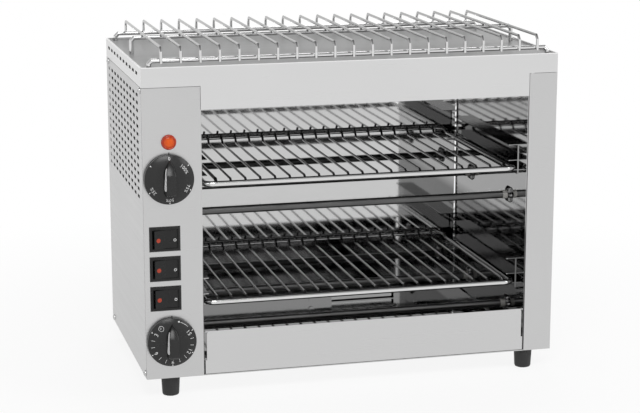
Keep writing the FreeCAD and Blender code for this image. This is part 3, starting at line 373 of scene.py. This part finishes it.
class Finish(Nodes):
    """Material with one principled shader."""

    def __init__(self, name):
        self.material = bpy.data.materials.new(name)
        self.material.use_nodes = True
        super().__init__(self.material.node_tree)
        self.output = self.add("ShaderNodeOutputMaterial")
        self.shader = self.add("ShaderNodeBsdfPrincipled")
        self.link(self.shader, "BSDF", self.output, "Surface")

    def set(self, **values):
        """Fixed inputs of the shader, with an underscore for each space in their names."""
        for key, value in values.items():
            self.shader.inputs[key.replace("_", " ")].default_value = value

    def colour(self, node):
        """Colour of the surface."""
        self.link(node, "Result", self.shader, "Base Color")

    def roughness(self, node):
        """Roughness of the surface."""
        self.link(node, "Result", self.shader, "Roughness")

    def bump(self, field, strength, distance):
        """Small bumps from a noise."""
        bump = self.add("ShaderNodeBump")
        bump.inputs["Strength"].default_value = strength
        bump.inputs["Distance"].default_value = distance
        self.link(field, "Fac", bump, "Height")
        self.link(bump, "Normal", self.shader, "Normal")


def brushed(name, dark, light, rough, grain):
    """Brushed sheet. The grain is fine across the brushing and long along it."""
    m = Finish(name)
    m.set(Metallic=1.0)
    lines = m.noise(grain, detail=4.0, roughness=0.65)
    clouds = m.noise(7, detail=2.0)
    m.colour(m.mixed(clouds, "Fac", dark, light))
    m.roughness(m.ranged(lines, "Fac", *rough))
    m.bump(lines, 0.05, 0.2 * MM)
    return m.material


def polished(name, dark, light, rough, painted_reflection_heights=None):
    """Mirror sheet with a faint waviness and wiping marks, darkened below the given heights as a
    painted dark reflection.
    """
    m = Finish(name)
    m.set(Metallic=1.0)
    wipes = m.noise(WIPED, detail=5.0, roughness=0.7)
    tones = m.mixed(wipes, "Fac", dark, light)
    if painted_reflection_heights:
        painted_reflection = m.mixed(wipes, "Fac", dark * PAINTED_REFLECTION_DARK, light * PAINTED_REFLECTION_LIGHT)
        tones = m.mixed(m.along("Z", *painted_reflection_heights), "Result", painted_reflection, tones)
    m.colour(tones)
    m.roughness(m.ranged(wipes, "Fac", *rough))
    m.bump(m.noise(5, detail=1.0), 0.02, 4 * MM)
    return m.material


def ledged_painted_front(name, dark, light, rough):
    """Polished wall guide in a dark tone, with a painted highlight on what faces the front."""
    m = Finish(name)
    m.set(Metallic=1.0)
    wipes = m.noise((90, 12, 90), detail=5.0, roughness=0.7)
    facing = m.split(m.add("ShaderNodeNewGeometry"), "Normal")
    # Painted highlight: faces that look to the front take the light tone
    front = m.ranged(facing, "Y", 1.0, 0.0, -0.8, -0.5)
    tones = m.mixed(wipes, "Fac", dark * 0.6, dark * 1.4)
    m.colour(m.mixed(front, "Result", tones, light))
    m.roughness(m.ranged(wipes, "Fac", *rough))
    return m.material


def two_faced(name, outside, painted_shade_inside, satin, mirror, edge):
    """Sheet that is satin in front of the edge and polished behind it."""
    m = Finish(name)
    m.set(Metallic=1.0)
    lines = m.noise(BRUSHED_WALL, detail=4.0, roughness=0.65)
    wipes = m.noise(WIPED, detail=5.0, roughness=0.7)
    behind = m.along("Y", edge - SKIN_CHANGE, edge + SKIN_CHANGE)
    m.colour(m.mixed(behind, "Result", outside, painted_shade_inside))
    dull = m.ranged(lines, "Fac", *satin)
    clear = m.ranged(wipes, "Fac", *mirror)
    m.roughness(m.mixed(behind, "Result", dull, clear, kind="FLOAT"))
    m.bump(wipes, 0.01, 0.2 * MM)
    return m.material


def plastic(name, dark, light, rough, grain=2500, strength=0.08, depth=0.06 * MM, shine=0.5):
    """Moulded plastic or rubber with a fine spark-eroded grain."""
    m = Finish(name)
    m.set(Specular_IOR_Level=shine)
    clouds = m.noise(60)
    m.colour(m.mixed(clouds, "Fac", dark, light))
    m.roughness(m.ranged(clouds, "Fac", *rough))
    m.bump(m.noise(grain, detail=2.0), strength, depth)
    return m.material


def chromed(name, dark, light, painted_shade_tone, axis, start):
    """Bright chromed wire with slightly dull patches, and painted shade in a darker tone past a place
    on one axis.
    """
    m = Finish(name)
    m.set(Metallic=1.0)
    patches = m.noise(45, detail=4.0, roughness=0.6)
    bright = m.mixed(patches, "Fac", dark, light)
    # Painted shade: the darker tone past the place on the axis
    dull = m.mixed(patches, "Fac", painted_shade_tone * 0.85, painted_shade_tone * 1.15)
    m.colour(m.mixed(m.along(axis, start, start + WIRE_CHANGE), "Result", bright, dull))
    m.roughness(m.ranged(patches, "Fac", 0.06, 0.14))
    m.bump(m.noise(180, detail=1.0), 0.04, 0.3 * MM)
    return m.material


def sheathed(name, dark, light, rough):
    """Element sheath: oxidised, blotched along its length."""
    m = Finish(name)
    m.set(Metallic=1.0)
    blotches = m.noise((25, 160, 160), detail=5.0, roughness=0.6)
    m.colour(m.mixed(blotches, "Fac", dark, light))
    m.roughness(m.ranged(blotches, "Fac", *rough))
    m.bump(m.noise(1500, detail=2.0), 0.1, 0.08 * MM)
    return m.material


def ceramic(name, dark, light, rough):
    """Unglazed steatite with fine pores, greyed by heat."""
    m = Finish(name)
    clouds = m.noise(80)
    m.colour(m.mixed(clouds, "Fac", dark, light))
    m.roughness(m.ranged(clouds, "Fac", *rough))
    m.bump(m.noise(900), 0.15, 0.1 * MM)
    return m.material


def lens(name, ring, middle, rough):
    """Orange moulded lens with small facets, red towards its rim."""
    m = Finish(name)
    m.set(Coat_Weight=0.15, Specular_IOR_Level=0.25)
    facets = m.noise(650, detail=1.0)
    distance = m.add("ShaderNodeVectorMath", operation="DISTANCE")
    distance.inputs[1].default_value = LAMP_PLACE
    m.link(m.add("ShaderNodeTexCoord"), "Object", distance, 0)
    outer = m.ranged(distance, "Value", 0.0, 1.0, LAMP_MIDDLE, LAMP_RING)
    orange = m.mixed(facets, "Fac", shaded(middle, 0.7), middle)
    red = m.mixed(facets, "Fac", shaded(ring, 0.7), ring)
    m.colour(m.mixed(outer, "Result", orange, red))
    m.roughness(m.ranged(facets, "Fac", *rough))
    m.bump(facets, 0.35, 0.3 * MM)
    return m.material


def painted(name, value, rough=0.5):
    """Printed or moulded-in mark, or a patch of painted shade, a little uneven."""
    m = Finish(name)
    specks = m.noise(1200)
    m.colour(m.mixed(specks, "Fac", shaded(value, 0.85), value))
    m.roughness(m.ranged(specks, "Fac", rough - 0.08, rough + 0.08))
    return m.material


looks = {
    "front": brushed("satin_front", 0.545, 0.59, SATIN, BRUSHED_WALL),
    # The cap is a lighter copy of the front's sheet: painted light
    "cap": brushed("satin_cap_painted_light", 0.645, 0.69, SATIN, BRUSHED_WALL),
    "side": brushed("satin_side", 0.47, 0.51, (0.30, 0.38), BRUSHED_WALL),
    # The top plate's dark tone is a painted reflection of the darker things it faces
    "plate": brushed("satin_top_painted_reflection", 0.21, 0.25, (0.30, 0.40), BRUSHED_TOP),
    # The tray's polished inside takes a darker tone than its front, as painted shade
    "tray": two_faced("tray_sheet", 0.60, 0.40, SATIN, (0.02, 0.05), TRAY_FRONT + SATIN_SKIN),
    "liner": polished("mirror_liner", 0.53, 0.58, MIRROR),
    "ceiling": polished("ceiling_dark", 0.05, 0.11, (0.16, 0.30)),
    "guide": ledged_painted_front("guide_painted_front_highlight", 0.09, 0.45, (0.04, 0.09)),
    # The side walls' liner, darkened low down as a painted dark reflection of the dark tray below
    "side_liner": polished("mirror_side_liner", 0.53, 0.58, MIRROR, PAINTED_REFLECTION_FADE),
    # Painted shade on the rack's wire tops and on the shelves' wires behind their bright front rails
    "rack": chromed("rack_chrome", 0.64, 0.76, 0.32, "Z", RACK_TOP - PAINTED_SHADE_TOPS),
    # Strips along the cap's bent edges, bright as a painted highlight
    "edge": brushed("painted_edge_highlight", 0.88, 0.96, (0.16, 0.24), 900),
    "shelf": chromed("shelf_chrome", 0.62, 0.72, 0.33, "Y", SHELF_FRONT + PAINTED_SHADE_FROM),
    "sheath": sheathed("element_sheath_dark", 0.07, 0.17, (0.28, 0.48)),
    "ceramic": ceramic("steatite", (0.30, 0.295, 0.28), (0.46, 0.45, 0.43), (0.45, 0.65)),
    "dial": plastic("dial_black", 0.010, 0.016, (0.24, 0.32), shine=0.4),
    "black": plastic("moulding_black", 0.016, 0.026, (0.38, 0.50)),
    "switch": plastic("switch_black", 0.008, 0.013, (0.22, 0.32), shine=0.3),
    "rubber": plastic("foot_rubber_black", 0.012, 0.024, (0.55, 0.75), 1200, 0.2, 0.1 * MM),
    "regulator": plastic("regulator_cream", (0.52, 0.49, 0.39), (0.62, 0.58, 0.47), (0.45, 0.6)),
    "zinc": brushed("zinc_plate", 0.44, 0.55, (0.25, 0.42), 80),
    "nickel": brushed("nickel_screw", 0.50, 0.62, (0.18, 0.30), 400),
    "spring": brushed("clip_spring_steel", 0.16, 0.26, (0.22, 0.36), 300),
    # The rear corners' folds, near-white as a painted highlight
    "fold": polished("painted_fold_highlight", 0.90, 0.97, (0.04, 0.08)),
    "lens": lens("lens_orange", (0.50, 0.045, 0.014), (0.88, 0.12, 0.004), (0.14, 0.24)),
    "print": painted("print_white", 0.90),
    "red": painted("mark_red", (0.45, 0.045, 0.015)),
    # Dark for the index ticks, and painted shade for the screw recesses and the corner seams
    "engraved": painted("dark_marks_and_painted_shade", 0.06, 0.6),
    "shadow": painted("gap_painted_shadow", 0.004, 0.8),
}

# Each look that nodes have, with what the names of those nodes start with
finishes = {
    "front": ("control_panel", "right_pillar", "base_pan"),
    "cap": ("top_cap",),
    "side": ("left_side_cover", "right_side_cover", "rear_cover"),
    "plate": ("top_plate",),
    "tray": ("crumb_tray",),
    "liner": ("liner_back",),
    "side_liner": ("liner_left", "liner_right"),
    "ceiling": ("ceiling_reflector",),
    "guide": ("guide_",),
    "rack": ("top_rack",),
    "shelf": ("upper_shelf", "lower_shelf"),
    "sheath": ("element_",),
    "ceramic": ("ceramic_caps_", "terminal_block"),
    "dial": tuple(DIAL_NODES.values()),
    "black": ("lamp_body", "cable_gland", "gland_nut"),
    "switch": ("switch_housing_", "rocker_"),
    "rubber": ("foot_front_", "foot_rear_"),
    "regulator": ("energy_regulator",),
    "zinc": ("timer_body", "foot_nuts", "bush_nuts", "power_shaft", "timer_shaft"),
    "nickel": ("side_screws", "rear_screws", "foot_screws"),
    "lens": ("lamp_lens", "lamp_bezel"),
}
for look, starts in finishes.items():
    for name, node in nodes.items():
        if name.startswith(starts):
            node.data.materials[0] = looks[look]


# Trim pieces, each a mesh of points and faces in the frame's own axes

def trim(name, parts, look, body, smooth=False):
    """One named piece made of (points, faces) parts, that moves with a body."""
    points = []
    faces = []
    for part_points, part_faces in parts:
        first = len(points)
        points.extend(part_points)
        faces.extend([[first + i for i in face] for face in part_faces])
    mesh = bpy.data.meshes.new(name)
    mesh.from_pydata(points, [], faces)
    if smooth:
        mesh.shade_smooth()
        mesh.set_sharp_from_angle(angle=SHARP_ANGLE)
    obj = bpy.data.objects.new(name, mesh)
    bpy.context.scene.collection.objects.link(obj)
    obj.data.materials.append(looks[look])
    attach(obj, body)
    return obj


def mapped(shape, place):
    """A flat (points, faces) shape with each (u, v) point moved to its place."""
    points, faces = shape
    return [place(u, v) for u, v in points], faces


def glyphs(text, height):
    """Flat shape of some digits, centred on its own middle."""
    curve = bpy.data.curves.new("digits", "FONT")
    curve.body = text
    curve.align_x = "CENTER"
    curve.size = height / FONT_CAP_SHARE
    curve.space_character = NUMBER_SPACING
    curve.offset = NUMBER_THINNING * curve.size
    curve.resolution_u = 4
    holder = bpy.data.objects.new("digits", curve)
    bpy.context.scene.collection.objects.link(holder)
    mesh = holder.evaluated_get(bpy.context.evaluated_depsgraph_get()).to_mesh()
    points = [(v.co.x, v.co.y - height / 2) for v in mesh.vertices]
    faces = [list(face.vertices) for face in mesh.polygons]
    bpy.data.objects.remove(holder)
    return points, faces


def bar(u0, u1, v0, v1):
    """Flat rectangle."""
    return [(u0, v0), (u1, v0), (u1, v1), (u0, v1)], [[0, 1, 2, 3]]


def wedge(width, v0, v1):
    """Small triangle with its point at v0."""
    return [(0, v0), (width / 2, v1), (-width / 2, v1)], [[0, 1, 2]]


def dot(radius, u=0.0, v=0.0, steps=24):
    """Flat disc about (u, v)."""
    points = []
    for i in range(steps):
        angle = 2 * math.pi * i / steps
        points.append((u + radius * math.cos(angle), v + radius * math.sin(angle)))
    return points, [list(range(steps))]


def ribbon_faces(steps):
    """Faces of a ribbon whose points come in pairs, one on each of its edges."""
    return [[2 * i, 2 * i + 1, 2 * i + 3, 2 * i + 2] for i in range(steps)]


def hoop(radius, width, start=0.0, end=360.0, steps=32, u=0.0, v=0.0):
    """Flat ring, or a part of one, about (u, v)."""
    points = []
    for i in range(steps + 1):
        angle = math.radians(start + (end - start) * i / steps)
        for r in (radius - width / 2, radius + width / 2):
            points.append((u + r * math.sin(angle), v + r * math.cos(angle)))
    return points, ribbon_faces(steps)


def ring_faces(rings, steps, flipped=False):
    """Faces between closed rings that all have the same number of points."""
    faces = []
    for ring in range(rings - 1):
        for i in range(steps):
            a = ring * steps + i
            b = ring * steps + (i + 1) % steps
            if flipped:
                a, b = b, a
            faces.append([a, b, b + steps, a + steps])
    return faces


def lathe(profile, seat, axis, steps=32):
    """A profile of (radius, height) turned about an axis through the seat, closed at both ends."""
    out = Vector(axis)
    side = out.orthogonal().normalized()
    other = out.cross(side)
    points = []
    for radius, height in profile:
        for i in range(steps):
            angle = 2 * math.pi * i / steps
            spoke = side * math.cos(angle) + other * math.sin(angle)
            points.append(Vector(seat) + out * height + spoke * radius)
    last = (len(profile) - 1) * steps
    ends = [list(reversed(range(steps))), list(range(last, last + steps))]
    return points, ends + ring_faces(len(profile), steps)


def on_panel(x, level):
    """Place on the control panel from u to the right and v up, about a point."""
    def place(u, v):
        return (x + u, FRONT_Y - PRINT_LIFT, level + v)
    return place


# Dials

def skirt_reach(radius):
    """How far the skirt stands off the panel at a radius."""
    share = (radius - CROWN_RADIUS) / (RIM_RADIUS - CROWN_RADIUS)
    return CROWN_REACH + (RIM_REACH - CROWN_REACH) * max(0.0, share)


def skirt(level):
    """Dished skirt of a dial, hollow behind."""
    inner = SKIRT_RADIUS - SKIRT_WALL
    profile = [
        (HUB_RADIUS, HUB_REACH),
        (HUB_RADIUS, CROWN_REACH - SKIRT_WALL),
        (CROWN_RADIUS, CROWN_REACH - SKIRT_WALL),
        (inner, RIM_REACH - SKIRT_WALL),
        (inner, SKIRT_GAP),
        (SKIRT_RADIUS, SKIRT_GAP),
        (SKIRT_RADIUS, SKIRT_SIDE),
        (RIM_RADIUS, RIM_REACH),
        (CROWN_RADIUS + CROWN_EDGE, CROWN_REACH - CROWN_EDGE_DROP),
        (CROWN_RADIUS - CROWN_EDGE, CROWN_REACH),
    ]
    return lathe(profile, (DIAL_X, FRONT_Y, level), (0, -1, 0), DIAL_STEPS)


def grip_shares(v):
    """How far a height is past the grip's shoulder towards its point, and past its heel."""
    above = (v - GRIP_SHOULDER) / (GRIP_TOP - GRIP_SHOULDER)
    below = (GRIP_HEEL - v) / (GRIP_HEEL - GRIP_BOTTOM)
    return max(0.0, above), max(0.0, below)


def grip_reach(v):
    """How far the grip's top stands off the panel at a height above the dial's middle."""
    above, below = grip_shares(v)
    drop = GRIP_REACH - GRIP_SINK
    slope = GRIP_SLOPE * above ** SLOPE_CURVE + (drop - GRIP_SLOPE) * above ** POINT_CURVE
    return GRIP_REACH - slope - drop * below ** HEEL_CURVE


def grip_half(v):
    """Half the grip's width at its foot."""
    above, below = grip_shares(v)
    return GRIP_HALF * (GRIP_FULLNESS - above ** 2 - HEEL_NARROWS * below ** HEEL_CURVE)


def grip(level):
    """Pointed grip across a dial: its top curves down to the point, its flanks are drafted."""
    points = []
    for i in range(GRIP_STEPS + 1):
        v = GRIP_BOTTOM + (GRIP_TOP - GRIP_BOTTOM) * (1 - math.cos(math.pi * i / GRIP_STEPS)) / 2
        foot = grip_half(v)
        top = foot * GRIP_NARROWS
        reach = grip_reach(v)
        edge = min(GRIP_EDGE, top / 2)
        cut = edge * GRIP_EDGE_CUT
        half = [(foot, GRIP_BASE), (top, reach - edge), (top - cut, reach - cut), (top - edge, reach)]
        section = [(-u, r) for u, r in half] + half[::-1]
        points += [(DIAL_X + u, FRONT_Y - r, level + v) for u, r in section]
    n = len(section)
    ends = [list(range(n)), [GRIP_STEPS * n + i for i in reversed(range(n))]]
    return points, ends + ring_faces(GRIP_STEPS + 1, n, flipped=True)


def painted_flank_highlight(level):
    """White line on the left flank of a grip as a painted highlight, narrow above, wide and round
    below.
    """
    points = []
    for i in range(FLANK_STEPS + 1):
        v = FLANK_BOTTOM + (FLANK_TOP - FLANK_BOTTOM) * (i / FLANK_STEPS) ** FLANK_CROWDING
        share = (v - FLANK_BOTTOM) / (FLANK_TOP - FLANK_BOTTOM)
        width = FLANK_WIDTH_BELOW + (FLANK_WIDTH_ABOVE - FLANK_WIDTH_BELOW) * share
        rounding = max(0.0, 1 - (v - FLANK_BOTTOM) / FLANK_ROUND)
        high = grip_reach(v) - GRIP_EDGE - FLANK_MARGIN
        middle = high - width / 2
        foot = grip_half(v)
        for side in (-1, 1):
            # A little over 1, so that the line keeps some width at its foot
            reach = middle + side * width / 2 * math.sqrt(1.001 - rounding ** 2)
            drafted = (reach - GRIP_BASE) / (high - GRIP_BASE)
            out = foot * (1 - (1 - GRIP_NARROWS) * drafted) + PRINT_LIFT
            points.append((DIAL_X - out, FRONT_Y - reach, level + v))
    return points, ribbon_faces(FLANK_STEPS)


# Print on the dials

def on_skirt(level, bearing, radius):
    """Place on a dial's skirt: u runs clockwise and v outwards from a bearing and a radius."""
    def place(u, v):
        r = radius + v
        angle = math.radians(bearing) + u / radius
        y = FRONT_Y - skirt_reach(r) - PRINT_LIFT
        return (DIAL_X + r * math.sin(angle), y, level + r * math.cos(angle))
    return place


def on_face(level):
    """Place on a dial's skirt from u to the right and v up, about the dial's middle."""
    def place(u, v):
        y = FRONT_Y - skirt_reach(math.hypot(u, v)) - PRINT_LIFT
        return (DIAL_X + u, y, level + v)
    return place


def numbers(level, marks, height):
    """Digits round a dial, tops outwards, each but the zero with a small wedge at the rim."""
    parts = []
    for bearing, (text, radius) in marks.items():
        if text:
            parts.append(mapped(glyphs(text, height), on_skirt(level, bearing, radius)))
        if bearing:
            tick = wedge(TICK_WIDTH, 0, TICK_LENGTH)
            parts.append(mapped(tick, on_skirt(level, bearing, TICK_RADIUS)))
    return parts


def minute_ticks(level):
    """Two thin lines between each pair of numbers on the timer."""
    parts = []
    line = bar(-LINE_WIDTH / 2, LINE_WIDTH / 2, 0, MINUTE_LENGTH)
    for step in range(1, 5):
        for third in (1, 2):
            bearing = TIMER_PITCH * (step + third / 3)
            parts.append(mapped(line, on_skirt(level, bearing, MINUTE_RADIUS)))
    return parts


def clock_sign(level):
    """Round clock face with two hands."""
    place = on_skirt(level, CLOCK_BEARING, CLOCK_PLACE)
    half = LINE_WIDTH / 2
    shapes = [
        hoop(CLOCK_RADIUS, LINE_WIDTH),
        bar(-half, half, 0, MINUTE_HAND),
        bar(-HOUR_HAND, 0, -half, half),
    ]
    return [mapped(shape, place) for shape in shapes]


def start_sign(level):
    """Dot and thin arc that show which way the timer is wound."""
    spot = mapped(dot(START_RADIUS), on_skirt(level, START_BEARING, TICK_RADIUS))
    arc = mapped(hoop(TICK_RADIUS, LINE_WIDTH, *START_ARC, START_ARC_STEPS), on_face(level))
    return [spot, arc]


def power_print(level):
    """All print on the power dial."""
    return numbers(level, POWER_MARKS, POWER_HEIGHT)


def timer_print(level):
    """All print on the timer dial."""
    marks = numbers(level, TIMER_MARKS, TIMER_HEIGHT)
    return marks + minute_ticks(level) + clock_sign(level) + start_sign(level)


dial_prints = {"power_dial": power_print, "timer_dial": timer_print}
index_ticks = []
for body, level in DIAL_LEVELS.items():
    shapes = [skirt(level), grip(level)]
    moulding = trim(body + "_moulding", shapes, "dial", body, smooth=True)
    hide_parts(DIAL_NODES[body])
    trim(body + "_print", dial_prints[body](level), "print", body)
    # Painted highlight on the grip's left flank, in the white of the print
    trim(body + "_line", [painted_flank_highlight(level)], "print", body)
    tick = bar(-INDEX_WIDTH / 2, INDEX_WIDTH / 2, INDEX_LOW, INDEX_HIGH)
    index_ticks.append(mapped(tick, on_panel(DIAL_X + INDEX_SHIFT, level)))
trim("index_ticks", index_ticks, "engraved", "housing")


# Marks on the rockers, and painted shadow in the gap beside the end that is pressed in

def on_rocker(level):
    """Place on a rocker's face: u to the right of its middle before the tilt, v up."""
    def place(u, v):
        depth = ROCKER_MIDDLE + (ROCKER_EDGE - ROCKER_MIDDLE) * abs(u) / ROCKER_HALF
        arm = depth - PRINT_LIFT - ROCKER_PIVOT
        x = u * math.cos(ROCKER_TILT) - arm * math.sin(ROCKER_TILT)
        y = ROCKER_PIVOT + u * math.sin(ROCKER_TILT) + arm * math.cos(ROCKER_TILT)
        return (ROCKER_X + x, FRONT_Y + y, level + v)
    return place


red_dot = dot(DOT_RADIUS, *DOT_PLACE)
off_mark = hoop(OFF_RADIUS, OFF_LINE, u=OFF_PLACE[0], v=OFF_PLACE[1])
gap_shadow = bar(GAP_START, GAP_END, -GAP_HALF_HEIGHT, GAP_HALF_HEIGHT)
for body, level in ROCKER_LEVELS.items():
    place = on_rocker(level)
    trim(body + "_dot", [mapped(red_dot, place)], "red", body)
    trim(body + "_off_mark", [mapped(off_mark, place)], "print", body)
    trim(body + "_gap", [mapped(gap_shadow, place)], "shadow", body)


# Lamp head with its moulded lens
head = lathe(LAMP_PROFILE, LAMP_PLACE, (0, -1, 0), LAMP_STEPS)
lamp_head = trim("lamp_head", [head], "lens", "housing", smooth=True)
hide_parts("lamp_lens", "lamp_bezel")


# Screws, with a dark cross of painted shade for each recess, in place of the plain ones

def recess(seat, axis, roll):
    """Dark cross of painted shade for the recess on a screw head."""
    out = Vector(axis)
    side = out.orthogonal().normalized()
    up = out.cross(side)
    u_axis = side * math.cos(roll) + up * math.sin(roll)
    v_axis = out.cross(u_axis)
    long, short = RECESS_LENGTH / 2, RECESS_WIDTH / 2
    shape = [bar(-long, long, -short, short), bar(-short, short, -long, long)]
    middle = Vector(seat) + out * RECESS_HEIGHT
    return [mapped(arm, lambda u, v: middle + u_axis * u + v_axis * v) for arm in shape]


low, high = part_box("side_screws")
side_seats = []
for sign in (-1, 1):
    for y in (low.y + HEAD_RADIUS, high.y - HEAD_RADIUS):
        for z in (low.z + HEAD_RADIUS, high.z - HEAD_RADIUS):
            side_seats.append(((sign * (high.x - HEAD_HEIGHT), y, z), (sign, 0, 0)))
low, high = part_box("rear_screws")
rear_seats = []
for x in (low.x + HEAD_RADIUS, high.x - HEAD_RADIUS):
    for z in (low.z + HEAD_RADIUS, high.z - HEAD_RADIUS):
        rear_seats.append(((x, high.y - HEAD_HEIGHT, z), (0, 1, 0)))
screw_rows = {"side_screws": (side_seats, SIDE_SHANK), "rear_screws": (rear_seats, REAR_SHANK)}
for node, (seats, length) in screw_rows.items():
    profile = [(SHANK_RADIUS, -length), (SHANK_RADIUS, 0)] + HEAD_PROFILE
    turned = [lathe(profile, *seat) for seat in seats]
    screws = trim(node + "_turned", turned, "nickel", "housing", smooth=True)
    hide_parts(node)
    crosses = []
    for number, seat in enumerate(seats):
        crosses += recess(*seat, FIRST_ROLL + NEXT_ROLL * number)
    trim(node + "_recesses", crosses, "engraved", "housing")


# Spring clips round the caps, and the painted highlights down the rear corners of the chamber

def spring_clip(middle, inward):
    """Star-shaped clip over a cap, its fingers springing off the wall."""
    points = []
    for share, rise in CLIP_RINGS:
        for i in range(CLIP_STEPS):
            angle = 2 * math.pi * i / CLIP_STEPS
            lobe = 0.5 + 0.5 * math.cos(CLIP_FINGERS * angle)
            reach = CLIP_ROOT + (CLIP_TIP - CLIP_ROOT) * lobe
            r = CLIP_BORE + (reach - CLIP_BORE) * share
            x = middle[0] + inward * rise
            points.append((x, middle[1] + r * math.cos(angle), middle[2] + r * math.sin(angle)))
    return points, ring_faces(len(CLIP_RINGS), CLIP_STEPS)


def painted_fold_highlight(x, y, sign, low, high):
    """Strip down a rear corner of the chamber where the sheet folds, near-white as a painted
    highlight.
    """
    rise = (FOLD_START - FOLD_END) * math.tan(FOLD_TURN)
    line = [(x - sign * FOLD_START, y), (x - sign * FOLD_END, y - rise), (x, y - rise - FOLD_END)]
    points = [(u, v, z) for z in (low, high) for u, v in line]
    return points, [[0, 1, 4, 3], [1, 2, 5, 4]]


walls = {-1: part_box("liner_left")[1].x, 1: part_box("liner_right")[0].x}
clips = []
for name in nodes:
    if name.startswith("element_"):
        middle = middle_of(name)
        for sign, wall in walls.items():
            clips.append(spring_clip((wall, middle.y, middle.z), -sign))
trim("spring_clips", clips, "spring", "housing", smooth=True)

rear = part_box("liner_back")[1]
folds = []
for sign, wall in walls.items():
    folds.append(painted_fold_highlight(wall, rear.y - LINER_SHEET, sign, FOLD_LOW, rear.z))
trim("painted_corner_highlights", folds, "fold", "housing")


# Painted shade in the seams down the two front corners, and painted highlights along the bent edges
# of the cap

def on_side(x):
    """Place on a side of the body from u behind the front and v up."""
    def place(u, v):
        return (x, FRONT_Y + u, v)
    return place


low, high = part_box("control_panel")
body_half = max(high.x, -low.x)
cap_low, cap_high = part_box("top_cap")
edge_low = cap_high.z - EDGE_WIDTH
seam = bar(SEAM_START, SEAM_START + SEAM_WIDTH, low.z, high.z)
front_end = bar(0, EDGE_WIDTH, cap_low.z, cap_high.z)
side_edge = bar(0, 2 * cap_high.y, edge_low, cap_high.z)
front_edge = bar(-body_half, body_half, edge_low, cap_high.z)
seams = []
edges = []
for sign in (-1, 1):
    place = on_side(sign * (body_half + PRINT_LIFT))
    seams.append(mapped(seam, place))
    edges.append(mapped(front_end, place))
    edges.append(mapped(side_edge, place))
edges.append(mapped(front_edge, on_panel(0, 0)))
trim("corner_seams_painted_shade", seams, "engraved", "housing")
trim("cap_edge_highlights", edges, "edge", "housing")


# Floor, world, lamps and camera

def floor_material():
    """White floor that glows for what looks at it, less so under and round the object, so that its
    real shadow shows there with a soft painted shade about it.
    """
    m = Finish("floor_white")
    m.set(Base_Color=rgb(FLOOR_COLOUR), Roughness=0.9)
    glow = m.add("ShaderNodeEmission")
    glow.inputs["Color"].default_value = rgb(1.0)
    glow.inputs["Strength"].default_value = 1.0
    distance = m.add("ShaderNodeVectorMath", operation="LENGTH")
    m.link(m.add("ShaderNodeTexCoord"), "Object", distance, 0)
    painted_shade_spread = m.ranged(distance, "Value", FLOOR_GLOW_NEAR, 1.0, *FLOOR_GLOW_REACH)
    share = m.combined("MULTIPLY", (m.shows_directly(), "Value"), (painted_shade_spread, "Result"))
    mix = m.add("ShaderNodeMixShader")
    m.link(share, "Value", mix, "Fac")
    m.link(m.shader, "BSDF", mix, 1)
    m.link(glow, "Emission", mix, 2)
    m.link(mix, "Shader", m.output, "Surface")
    return m.material


def light_world():
    """White all round at eye level, dimmer overhead, and a little dimmer as plain light."""
    world = bpy.data.worlds.new("studio")
    bpy.context.scene.world = world
    world.use_nodes = True
    w = Nodes(world.node_tree)
    back = w.add("ShaderNodeBackground")
    back.inputs["Color"].default_value = rgb(1.0)
    w.link(back, "Background", w.add("ShaderNodeOutputWorld"), "Surface")
    way = w.split(w.add("ShaderNodeTexCoord"), "Generated")
    overhead = w.ranged(way, "Z", 1.0, OVERHEAD_LIGHT, *OVERHEAD_REACH)
    level = w.ranged(w.shows_directly(), "Value", PLAIN_LIGHT, 1.0, 0.0, 1.0)
    shown = w.combined("MULTIPLY", (overhead, "Result"), (level, "Result"))
    seen = (w.add("ShaderNodeLightPath"), "Is Camera Ray")
    w.link(w.combined("MAXIMUM", (shown, "Value"), seen), "Value", back, "Strength")


def softbox(name, place, size, power):
    """Rectangular lamp that faces the object and doesn't show itself."""
    data = bpy.data.lights.new(name, "AREA")
    data.shape = "RECTANGLE"
    data.size, data.size_y = size
    data.energy = power
    lamp = bpy.data.objects.new(name, data)
    bpy.context.scene.collection.objects.link(lamp)
    lamp.location = place
    lamp.rotation_euler = (Vector(LIT_PLACE) - Vector(place)).to_track_quat("-Z", "Y").to_euler()
    lamp.visible_camera = False


def photo_camera():
    """Camera fitted to the photograph."""
    camera = bpy.data.objects.new("camera", bpy.data.cameras.new("camera"))
    bpy.context.scene.collection.objects.link(camera)
    bpy.context.scene.camera = camera
    camera.data.sensor_width = SENSOR_WIDTH
    camera.data.lens = CAMERA_LENS
    camera.location = CAMERA_PLACE
    level = math.cos(CAMERA_PITCH)
    ahead = (math.sin(CAMERA_YAW) * level, math.cos(CAMERA_YAW) * level, -math.sin(CAMERA_PITCH))
    camera.rotation_mode = "QUATERNION"
    camera.rotation_quaternion = Vector(ahead).to_track_quat("-Z", "Y")


floor = bpy.data.objects.new("floor", bpy.data.meshes.new("floor"))
corners, sides = dot(FLOOR_RADIUS, steps=FLOOR_STEPS)
floor.data.from_pydata([(u, v, 0.0) for u, v in corners], [], sides)
floor.data.materials.append(floor_material())
bpy.context.scene.collection.objects.link(floor)
light_world()
softbox("key", place=(-0.35, -1.6, 1.95), size=(1.2, 0.9), power=22)
softbox("fill", place=(1.7, -1.2, 1.5), size=(1.2, 1.2), power=12)
softbox("rear", place=(0.3, 1.7, 2.1), size=(1.6, 0.8), power=14)
photo_camera()

bpy.context.scene.view_settings.view_transform = "Standard"
